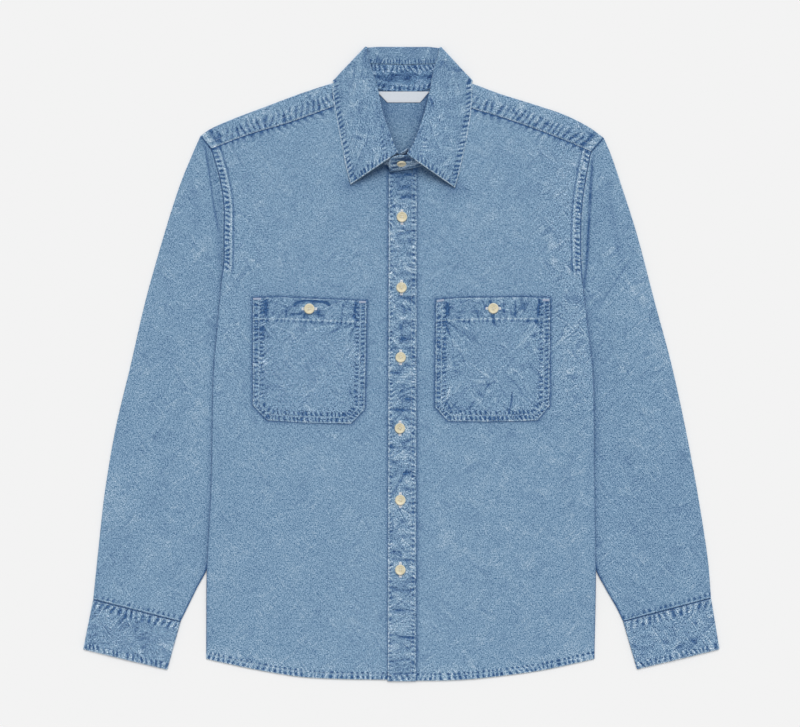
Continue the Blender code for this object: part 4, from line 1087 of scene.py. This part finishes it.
share = spaced(66, 1.5, (64.5, 66, 0.5))[None]
hump = LAYER * share * (1 - smooth((share - covered) / (1 - covered))) * over[:, None]
leaf = outer[:, None] + (end - outer[:, None]) * share[..., None]
leaf[..., 2] += hump
grid = np.concatenate([rising, rounded, leaf], axis=1).transpose(1, 0, 2)
along, down = spread(grid, 1), spread(grid, 0)
along = np.broadcast_to(along[-1], along.shape)
edge_gap, edge_run = down[-1:] - down, along.copy()
front_gap, front_run = np.full(along.shape, NO_EDGE), np.zeros(along.shape)
leaf_rows = slice(rising.shape[1] + rounded.shape[1], None)
for way, column in ((1, 0), (-1, -1)):
    laid = (turn > 1.5) & (way * rows[:, 0] > 0)
    flat = grid[leaf_rows, laid, :2]
    edge_gap[leaf_rows, laid], edge_run[leaf_rows, laid] = near(flat, grid[-1, laid, :2])
    front_gap[leaf_rows, laid], front_run[leaf_rows, laid] = near(flat, grid[leaf_rows, column, :2])
laid_out = smooth((np.arange(len(grid)) - 24) / 6)[:, None]
rope_edge = roped(edge_gap, edge_run, 5.8, 81, 1.4, 6.0, 3.5, 0.5)
rope_front = roped(front_gap, front_run, 5.6, 83, 1.6, 6.0, 4, 0.5) * laid_out
rope_roll = ropes(along, edge_gap, 5.0, 85) * groove(down, 19, 4)
rope_roll *= smooth((front_gap - 4) / 6) * smooth((45 - front_gap) / 20)
rope_start = roped(down, along, 6.0, 87, 0.5, 5, 3)
rope = np.where(front_gap < edge_gap, rope_front, rope_edge)
fine = crinkles(grid[..., :2], 88, 0.2)
gap = np.minimum(edge_gap, np.where(laid_out > 0.5, front_gap, NO_EDGE))
relief = 0.34 * rope + 0.28 * rope_start + 0.08 * fine + curl(gap) - 0.2 * groove(gap, 1.9, 0.5)
relief[leaf_rows, over < 0.5] = np.minimum(relief[leaf_rows, over < 0.5], 0)
wear_and_shading = 1.3 * worn(rope) + 1.2 * worn(rope_start) + worn(rope_roll) + 0.22 * fine - 0.06
# The pale line at the leaves' turned edges is a painted highlight
wear_and_shading += 0.7 * groove(gap, 0.2, 0.9) - 0.2 * smooth((10 - gap) / 4) * laid_out - 0.2 * (1 - laid_out)
cloth = surface(grid + facing(grid, False) * WALL / 2, relief, wear_and_shading, gap, 0.15,
                np.dstack([along, down]), 0.72)
fall = piece("collar_fall_leaves", [shell(cloth, coarse=1, seed=8.0)], outer_cloth,
             "collar_fall")


# Sleeves
# Each sleeve is one cut of chambray, sewn to a tube and pressed flat, with a fold at each side.
# Its cap is felled to the body, and its inner fold runs on under the body's side.

SLEEVE_OUTER = {
    "right": [(-262, 260.5), (-278, 220.5), (-297, 160.5), (-319.5, 80.5), (-338, 0.5),
              (-357, -79.5), (-370.5, -159.5), (-379.5, -239.5), (-385, -293)],
    "left": [(262, 260.5), (275.5, 220.5), (294.5, 160.5), (315.5, 80.5), (337, 0.5),
             (354.5, -79.5), (369.5, -159.5), (382, -239.5), (386.5, -291.5)],
}
SLEEVE_INNER = {
    "right": [(-219, 114), (-224.5, 96), (-226.5, 74), (-226, 50), (-224, 15), (-223, -25),
              (-222.5, -75), (-223, -132), (-230, -190), (-236, -225), (-242.5, -254.5),
              (-255.5, -279.5), (-267, -303), (-275.8, -320.8)],
    "left": [(220, 112), (226, 94), (228.5, 72), (229, 47), (228, 14), (227.5, -27), (227.5, -77),
             (228, -132), (233, -190), (237.5, -225), (242, -254.5), (254.5, -279.5),
             (268, -303), (276.5, -320.5)],
}
SLEEVE_THICK = 2.6
SLEEVE_CROWN = 2.0
SLEEVE_WALL = 0.9
SLEEVE_CREASES = {
    "right": [
        (-0.9, 2.6, -246, 276, -240.6, 243.1, -234.4, 199.4, -228.1, 165.6),
        (-0.12, 9, -262, 232, -252, 150), (-0.2, 2.2, -304.4, 120.6, -289.4, 90.6, -295.6, 68.1),
        (-0.18, 2, -269.4, 118.1, -286.9, 99.4),
        (-0.15, 2.5, -245.6, 58.1, -266.9, 43.1, -286.9, 48.1),
        (-0.14, 3.8, -245.6, -131.9, -269.4, -169.4), (-0.14, 2.5, -314.4, 5.6, -281.9, 15.6),
        (-0.12, 3.1, -351.9, -131.9, -319.4, -121.9), (-0.2, 3.8, -244.4, -244.4, -256.9, -271.9),
    ],
    "left": [
        (-1.3, 3.6, 239, 262, 236.5, 227, 234, 179, 231.5, 131, 227.5, 95),
        (-0.25, 8, 254, 242, 263, 190, 274, 131),
        (-0.35, 2.5, 289.4, 138.1, 276.9, 118.1, 265.6, 103.1),
        (-0.25, 2.2, 266.9, 85.6, 249.4, 35.6),
        (-0.3, 2.2, 283.1, 128.1, 255.6, 85.6, 238.1, 65.6), (-0.3, 2.8, 280.6, 58.1, 278.1, 24.4),
        (0.25, 2, 285.6, 103.1, 260.6, 78.1, 240.6, 55.6), (0.25, 1.9, 269.4, -19.4, 244.4, -46.9),
        (-0.3, 2.2, 305.6, 20.6, 273.1, -19.4, 244.4, -51.9),
        (-0.25, 2.2, 333.1, -19.4, 305.6, -46.9),
        (-0.28, 2.2, 289.4, -26.9, 266.9, -46.9, 248.1, -69.4),
        (-0.22, 2, 244.4, -71.9, 283.1, -79.4),
        (-0.2, 2, 265.6, -46.9, 308.1, -66.9, 348.1, -86.9),
        (0.22, 1.9, 300.6, -101.9, 263.1, -89.4),
        (-0.2, 2, 248.1, -159.4, 290.6, -169.4, 325.6, -179.4),
        (-0.2, 2.5, 258.1, -156.9, 283.1, -194.4, 310.6, -231.9),
        (-0.2, 2.5, 253.1, -244.4, 275.6, -275.6), (-0.18, 2.2, 360.6, -131.9, 338.1, -156.9),
        (0.2, 1.9, 245.6, 5.6, 258.1, 30.6),
    ],
}


def pressed_tube(plan, tops, thick, under):
    """Points all round a pressed tube, from plan rows between its folds; 1 where it faces up."""
    radius, rows = thick / 2, len(plan)
    first, last = unit(plan[:, 1] - plan[:, 0]), unit(plan[:, -2] - plan[:, -1])
    turn = np.radians(np.linspace(-90, 90, 9))
    reached = (radius * (1 - np.cos(turn)))[None, :, None]
    left = plan[:, :1] + first[:, None] * reached
    right = plan[:, -1:] + last[:, None] * reached[:, ::-1]
    low = plan[:, np.linspace(plan.shape[1] - 4, 3, under).astype(int)]
    rounded = np.repeat(radius * (1 + np.sin(turn))[None], rows, axis=0)
    height = np.hstack([rounded, tops[:, 1:-1], rounded[:, ::-1], np.zeros((rows, under))])
    at_points = np.dstack([np.hstack([left, plan[:, 1:-1], right, low]), height])
    ends = smooth(turn / (math.pi / 2))[None]
    facing_up = [ends, np.ones((1, plan.shape[1] - 2)), ends[:, ::-1], np.zeros((1, under))]
    return at_points, np.hstack(facing_up)


def tube_shares(count):
    """Shares across a pressed tube; the second one is past the round of the fold."""
    return np.concatenate([[0.0], np.linspace(0.024, 0.976, count), [1.0]])


# Side, seed and gap to the armhole; slope and strength of the fine lines; how strongly painted
# wrinkle light and shade and the coarse grain show; how much darker the whole sleeve is; painted
# shade on its cap
for side, seed, away, slope, fineness, pressed, dark, cap_shade in (
        ("right", 91, -0.1, 2.3, 0.6, 0.4, 0, 0.35), ("left", 97, 0.1, 0.75, 0.8, 0.5, 0.07, 0)):
    cap = np.array([SHOULDER_FOLD[side][-1], YOKE_SEAM[side][-1]], float)
    armhole = off(np.vstack([cap, arm[side][1:-2]]), away)
    armhole[-1] = SLEEVE_INNER[side][0]
    outer = curve([tuple(armhole[0])] + SLEEVE_OUTER[side])
    inner = curve(SLEEVE_INNER[side])
    wrist = np.array([outer[-1], inner[-1]])
    u, v = tube_shares(80), spaced(610, 2.4, (0, 14, 1.3), (590, 610, 1.2))
    plan = patch(armhole, wrist, outer, inner, u, v)
    swell = smooth(v * 14 / 3) * smooth((1 - v) * 14 / 3)
    crown = np.sin(math.pi * np.minimum(u / 0.62, 1)) ** 2
    tops = SLEEVE_THICK + SLEEVE_CROWN * swell[:, None] * crown
    if side == "left":
        plan, tops = plan[:, ::-1], tops[:, ::-1]
    base, upper = pressed_tube(plan, tops, SLEEVE_THICK, 22)
    flat = base[..., :2]
    arm_gap, arm_run = near(flat, armhole[:-1])
    wrist_gap, wrist_run = near(flat, wrist)
    base[..., 2] -= upper * 0.9 * smooth((4 - arm_gap) / 3)
    arm_rope = ropes(arm_run, arm_gap, 7, seed) * np.exp(-arm_gap / 5)
    wrist_rope = roped(wrist_gap, wrist_run, 6.5, seed + 2, 2.6, 5, 4, 0.1)
    fine = crinkles(flat, seed + 4, slope) * fineness
    waves = noise(flat[..., 0] / 60, flat[..., 1] / 80, seed + 6) - 0.5
    fold = creases(flat, SLEEVE_CREASES[side])
    relief = 0.15 * arm_rope + 0.28 * wrist_rope + 0.12 * fine + fold
    relief += 1.2 * waves * smooth(arm_gap / 30)
    # Creases darken in their troughs, as painted shade in the folds
    wear_and_shading = 0.5 * worn(arm_rope) + worn(wrist_rope) + 0.12 * fine + 0.2 * waves + 0.9 * fold - dark
    # The dark line at the wrist seam is painted shadow
    wear_and_shading += lines(arm_gap, (0.35, 1.2, 0.8)) + lines(wrist_gap, (0.8, 1.5, 0.8), (-1.2, 0, 0.4))
    # Painted shade on the cap beside the armhole
    wear_and_shading -= cap_shade * smooth((13 - arm_gap) / 9) + 0.3 * smooth((8 - wrist_gap) / 5)
    # Painted shadow in the armhole seam near the shoulder
    wear_and_shading -= 1.3 * groove(arm_gap, 0, 1.1) * smooth((26 - arm_run) / 4)
    wear_and_shading -= 1.5 * groove(near(flat, inner)[0], 0, 1.7) * smooth((-225 - flat[..., 1]) / 30)
    # Painted shadow of the body's side edge on the sleeve
    body_gap = near(flat, curve(SIDE[side]))[0]
    wear_and_shading -= 0.55 * np.exp(-body_gap / 4) * smooth((wrist_gap - 10) / 40)
    cloth = surface(base, relief * upper, wear_and_shading * upper, crinkle=pressed)
    sleeve_shell = shell(cloth, ring=True, wall=SLEEVE_WALL, seed=float(seed))
    sleeve = piece("sleeve_" + side + "_tube", [sleeve_shell], outer_cloth,
                   "sleeve_" + side)


# Cuffs
# A chambray band of two layers at the end of each sleeve, pressed flat with it. The sleeve is
# gathered into its top edge, and both edges are stitched and roped.

CUFF_EDGE = {
    "right": [(-397.5, -355.5), (-292.5, -381)],
    "left": [(397, -355.5), (294, -380.5)],
}
CUFF_THICK = 3.2
CUFF_CROWN = 0.4
CUFF_WALL = 1.2
CUFF_ROW = 1.9
CUFF_CREASES = {
    "right": [
        (-0.4, 4, -322, -313, -330, -327, -333, -347), (-0.3, 3, -350, -318, -351, -332),
    ],
    "left": [
        (-0.35, 3, 336, -318, 341, -338, 338, -352), (-0.2, 3, 366, -312, 369, -330),
    ],
}

for side, seed in (("right", 111), ("left", 117)):
    outer, inner = np.array(SLEEVE_OUTER[side][-1]), np.array(SLEEVE_INNER[side][-1])
    edge = np.array(CUFF_EDGE[side], float)
    down = 0.3 * unit(edge[0] - outer)
    wrist = np.array([outer, inner]) + down
    u, v = tube_shares(78), spaced(63, 1.3, (0, 2, 0.5), (61, 63, 0.5))
    plan = patch(wrist, edge, np.array([wrist[0], edge[0]]), np.array([wrist[1], edge[1]]), u, v)
    tops = np.full(plan.shape[:2], CUFF_THICK) + CUFF_CROWN * np.sin(math.pi * u)[None] ** 2
    if side == "left":
        plan, tops = plan[:, ::-1], tops[:, ::-1]
    base, upper = pressed_tube(plan, tops, CUFF_THICK, 24)
    flat = base[..., :2]
    top_gap, top_run = near(flat, wrist)
    low_gap, low_run = near(flat, edge)
    rope = roped(top_gap, top_run, 8.2, seed, 1.5, 9, 6, 0.03)
    rope += roped(low_gap, low_run, 6.2, seed + 2, 1.5, 7.5, 3, 0.15)
    fine = crinkles(flat, seed + 4, 1.3)
    fold = creases(flat, CUFF_CREASES[side])
    gap = np.minimum(top_gap, low_gap)
    relief = 0.36 * rope + 0.1 * fine + fold - 0.2 * groove(gap, CUFF_ROW, 0.5)
    # The dark line at the cuff's top seam is painted shadow
    wear_and_shading = 1.2 * worn(rope) + 0.15 * fine + 1.5 * fold - 2.2 * groove(top_gap, 0, 0.55) - 0.05
    cloth = surface(base, relief * upper + curl(gap, 0.7), wear_and_shading * upper, low_gap, 0.3 * upper,
                    crinkle=1.0)
    cuff_shell = shell(cloth, ring=True, wall=CUFF_WALL, seed=float(seed))
    cuff = piece("cuff_" + side + "_band", [cuff_shell], outer_cloth, "cuff_" + side)
    inward = -CUFF_ROW if side == "right" else CUFF_ROW
    sew("cuff_" + side, [cuff_shell], [off(wrist, inward), off(edge, -inward)])


# Buttons
# Cream resin buttons with a rim and four holes, sewn on with crossed pale thread: six on the
# placket, one on each pocket, and a smaller one on the collar stand.

BUTTON_SECTION = [(0, 0.62), (0.62, 0.66), (0.76, 0.98), (0.9, 1), (1, 0.72)]
BUTTON_THICK = 2.6
BUTTON_WIDTH = 13.0
COLLAR_BUTTON_WIDTH = 11.5
FRONT_BUTTONS = [(0.5, 184), (0, 96), (-1, 9), (-2, -79.5), (-1.5, -169), (-1.5, -256)]
POCKET_BUTTONS = {"right": (-115, 69.5), "left": (114.5, 70)}
HOLE_OUT = 2.00788
HOLE_RADIUS = 0.8


def resin(name):
    """Cast resin, creamy with faint clouds, its roughness varying with the clouds."""
    made, tree, shader = new_material(name, 0.38)
    place = add_node(tree, "TexCoord").outputs["Object"]
    cloud = add_node(tree, "TexNoise", {"Vector": place, "Scale": 260.0, "Detail": 3.0}).outputs[0]
    ramp = add_node(tree, "ValToRGB", {0: cloud})
    for element, position, colour in zip(ramp.color_ramp.elements, (0.3, 0.7),
                                         ((209, 200, 169), (231, 223, 198))):
        element.position, element.color = position, linear(*colour)
    rough = add_node(tree, "MapRange", {0: cloud, 3: 0.32, 4: 0.5}).outputs[0]
    tree.links.new(rough, shader.inputs["Roughness"])
    dress(tree, shader, ramp.outputs[0], cloud, 0.0001, 0.3, {"Specular IOR Level": 0.4})
    return made


def hole_turns(turned):
    """Directions of the four holes in a button that is turned by an angle."""
    return [turned + math.pi * (0.25 + 0.5 * quarter) for quarter in range(4)]


def button_disc(diameter, turned):
    """A turned disc with four blind holes, about its own axis from Z = 0 up."""
    radius, spokes = diameter / 2, 64
    out = np.concatenate([np.linspace(0.2, 3.1, 19), np.linspace(3.45, radius, 12)])
    angle = 2 * math.pi * np.arange(spokes) / spokes
    share, up = np.array(BUTTON_SECTION).T
    height = np.interp(out / radius, share, up)[:, None] * BUTTON_THICK
    out = np.append(out, [0.97 * radius, 0.8 * radius])[:, None]
    x, y = out * np.cos(angle), out * np.sin(angle)
    under = np.array([[0.3], [0.02]]) * BUTTON_THICK
    height = np.vstack([height, under]) + np.zeros((1, spokes))
    for turn in hole_turns(turned):
        hole = np.hypot(x - HOLE_OUT * math.cos(turn), y - HOLE_OUT * math.sin(turn))
        height[:-2] -= 1.1 * smooth((HOLE_RADIUS + 0.12 - hole[:-2]) / 0.28)
    points = np.dstack([x, y, height]).reshape(-1, 3)
    faces = quads(0, len(out), spokes, True).tolist()
    last = list(range(len(points) - spokes, len(points)))
    return unmarked(points, faces, [list(range(spokes)), last[::-1]])


def crossed_thread(turned):
    """Strands over the button between opposite holes."""
    runs = []
    for turn, lift in zip(hole_turns(turned), (0.0, 0.22)):
        ahead = np.array([math.cos(turn), math.sin(turn), 0])
        beside = np.array([-math.sin(turn), math.cos(turn), 0])
        for shift in (-0.2, 0.0, 0.2):
            middle = np.array([-1, -0.82, -0.4, 0.4, 0.82, 1])[:, None] * HOLE_OUT * ahead
            rise = np.array([-0.8, 0.1, 0.22, 0.22, 0.1, -0.8]) + lift + 0.62 * BUTTON_THICK
            runs.append(middle + beside * shift + rise[:, None] * (0, 0, 1))
    return cords(np.array(runs), 0.13)


def moved(part, place, lean=(0, 0, 1)):
    """A shell turned so that its axis is this direction, and moved into place."""
    turn = np.array(Vector((0, 0, 1)).rotation_difference(Vector(lean)).to_matrix())
    return dict(part, points=part["points"] @ turn.T + np.array(place))


def add_button(name, diameter, turned, seat, lean=(0, 0, 1)):
    """A button and its thread, turned about its axis, on its seat."""
    name = "button_" + name
    disc, strands = (moved(part, seat, lean)
                     for part in (button_disc(diameter, turned), crossed_thread(turned)))
    piece(name + "_disc", [disc], button_resin, name)
    piece(name + "_thread", [strands], button_thread)


button_resin = resin("button_resin")
button_thread = thread_material("button_thread", (240, 238, 228))
seats = {f"front_{number}": place for number, place in enumerate(FRONT_BUTTONS, 1)}
seats.update({"pocket_" + side: place for side, place in POCKET_BUTTONS.items()})
for number, (name, place) in enumerate(seats.items()):
    lift = float(rest(np.array(place, float))) + 3 * LAYER
    add_button(name, BUTTON_WIDTH, 0.3 * number, (*place, lift))
over_end, flat_turn = np.array(LEFT_END[:2], float), np.radians([90, 90])
low, middle, high = (neck_band(over_end, flat_turn, np.full((2, 1), share))[:, 0]
                     for share in (0.0, 0.52, 1.0))
lean = unit(np.cross(middle[0] - middle[1], high[0] - low[0]) * (1, 1, 0.6))
add_button("collar", COLLAR_BUTTON_WIDTH, 0.2, middle[0] + lean * (WALL / 2 + 0.3), lean)


# Buttonholes and bar tacks
# Close white satin stitches: an upright buttonhole behind each front button, a level one on each
# pocket, and a short bar at each end of the pocket openings.

BAR_TACKS = [((-185, 81.9), (-175.5, 81.9)), ((-53, 78), (-44.5, 78)),
             ((44, 79), (53, 80.5)), ((176, 80.5), (184.5, 80.5))]
HOLE_HALF = 8.3
BESIDE = 3.6


def satin(start, end, width, under, pitch=0.42):
    """Close stitches across a line from start to end, on the top face of the shells under them."""
    tree = BVHTree.FromPolygons(under["points"].tolist(), under["faces"])
    start, end = np.array(start, float), np.array(end, float)
    ahead = unit(end - start)
    across = np.array([-ahead[1], ahead[0]])
    runs = []
    for k in np.arange(0.2, np.linalg.norm(end - start), pitch):
        run = []
        for share, rise in ((-0.5, -0.1), (-0.4, 0.16), (0.4, 0.16), (0.5, -0.1)):
            x, y = start + ahead * k + across * share * width
            run.append((x, y, np.nan_to_num(height_of([tree], x, y), nan=BESIDE) + rise))
        runs.append(run)
    return cords(np.array(runs), 0.2, 4)


white_thread = thread_material("buttonhole_thread", (248, 250, 255))
satins = []
for name, middle in seats.items():
    level = name.startswith("pocket")
    under = pocket_shells[name[7:]] if level else placket_shell
    ahead = np.array((1, 0) if level else (0, 1))
    for shift in (-0.95, 0.95):
        side_of = middle + shift * ahead[::-1]
        satins.append(satin(side_of - HOLE_HALF * ahead, side_of + HOLE_HALF * ahead, 1.3, under))
    for way in (-1, 1):
        satins.append(satin(middle + way * 7.9 * ahead, middle + way * 9.6 * ahead, 3.2, under))
piece("buttonhole_stitches", satins, white_thread)
tacks = [satin(start, end, 2.4, pocket_shells["right" if start[0] < 0 else "left"])
         for start, end in BAR_TACKS]
piece("pocket_bar_tacks", tacks, thread_material("bar_tack_thread", (196, 208, 232)))


# Table, light and camera
# A plain pale table top fills the frame. A broad soft light comes from above the collar, the room
# lights the rest evenly, and the camera looks straight down.

TABLE_SIZE = 6
TABLE_DROP = 0.0002
ROOM_LIGHT = 0.53
LAMP_ON_TABLE = 0.47
LAMP_SPREAD = 38
LAMP_TILT, LAMP_LEAN = 32, 3
CAMERA_PLACE = (-0.0019, 0.00125, 2.36)
LENS_LENGTH, FILM_WIDTH = 85, 36

bpy.ops.mesh.primitive_plane_add(size=TABLE_SIZE, location=(0, 0, -TABLE_DROP))
table = bpy.context.object
table.name = "table"
paper, tree, shader = new_material("pale_table", 0.9)
shader.inputs["Base Color"].default_value = linear(243, 243, 243)
shader.inputs["Specular IOR Level"].default_value = 0.0
table.data.materials.append(paper)
table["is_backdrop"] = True

world = bpy.data.worlds.new("studio")
bpy.context.scene.world = world
world.use_nodes = True
background = world.node_tree.nodes["Background"]
background.inputs["Color"].default_value = (1, 1, 1, 1)
background.inputs["Strength"].default_value = ROOM_LIGHT

lamp = bpy.data.lights.new("soft_light", "SUN")
lamp.energy = LAMP_ON_TABLE * math.pi / math.cos(math.radians(LAMP_TILT))
lamp.angle = math.radians(LAMP_SPREAD)
light = bpy.data.objects.new("soft_light", lamp)
light.rotation_euler = (-math.radians(LAMP_TILT), math.radians(LAMP_LEAN), 0)
bpy.context.scene.collection.objects.link(light)

lens = bpy.data.cameras.new("camera")
lens.lens = LENS_LENGTH
lens.sensor_width = FILM_WIDTH
camera = bpy.data.objects.new("camera", lens)
camera.location = CAMERA_PLACE
bpy.context.scene.collection.objects.link(camera)
bpy.context.scene.camera = camera
bpy.context.scene.view_settings.view_transform = "Standard"

low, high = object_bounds()
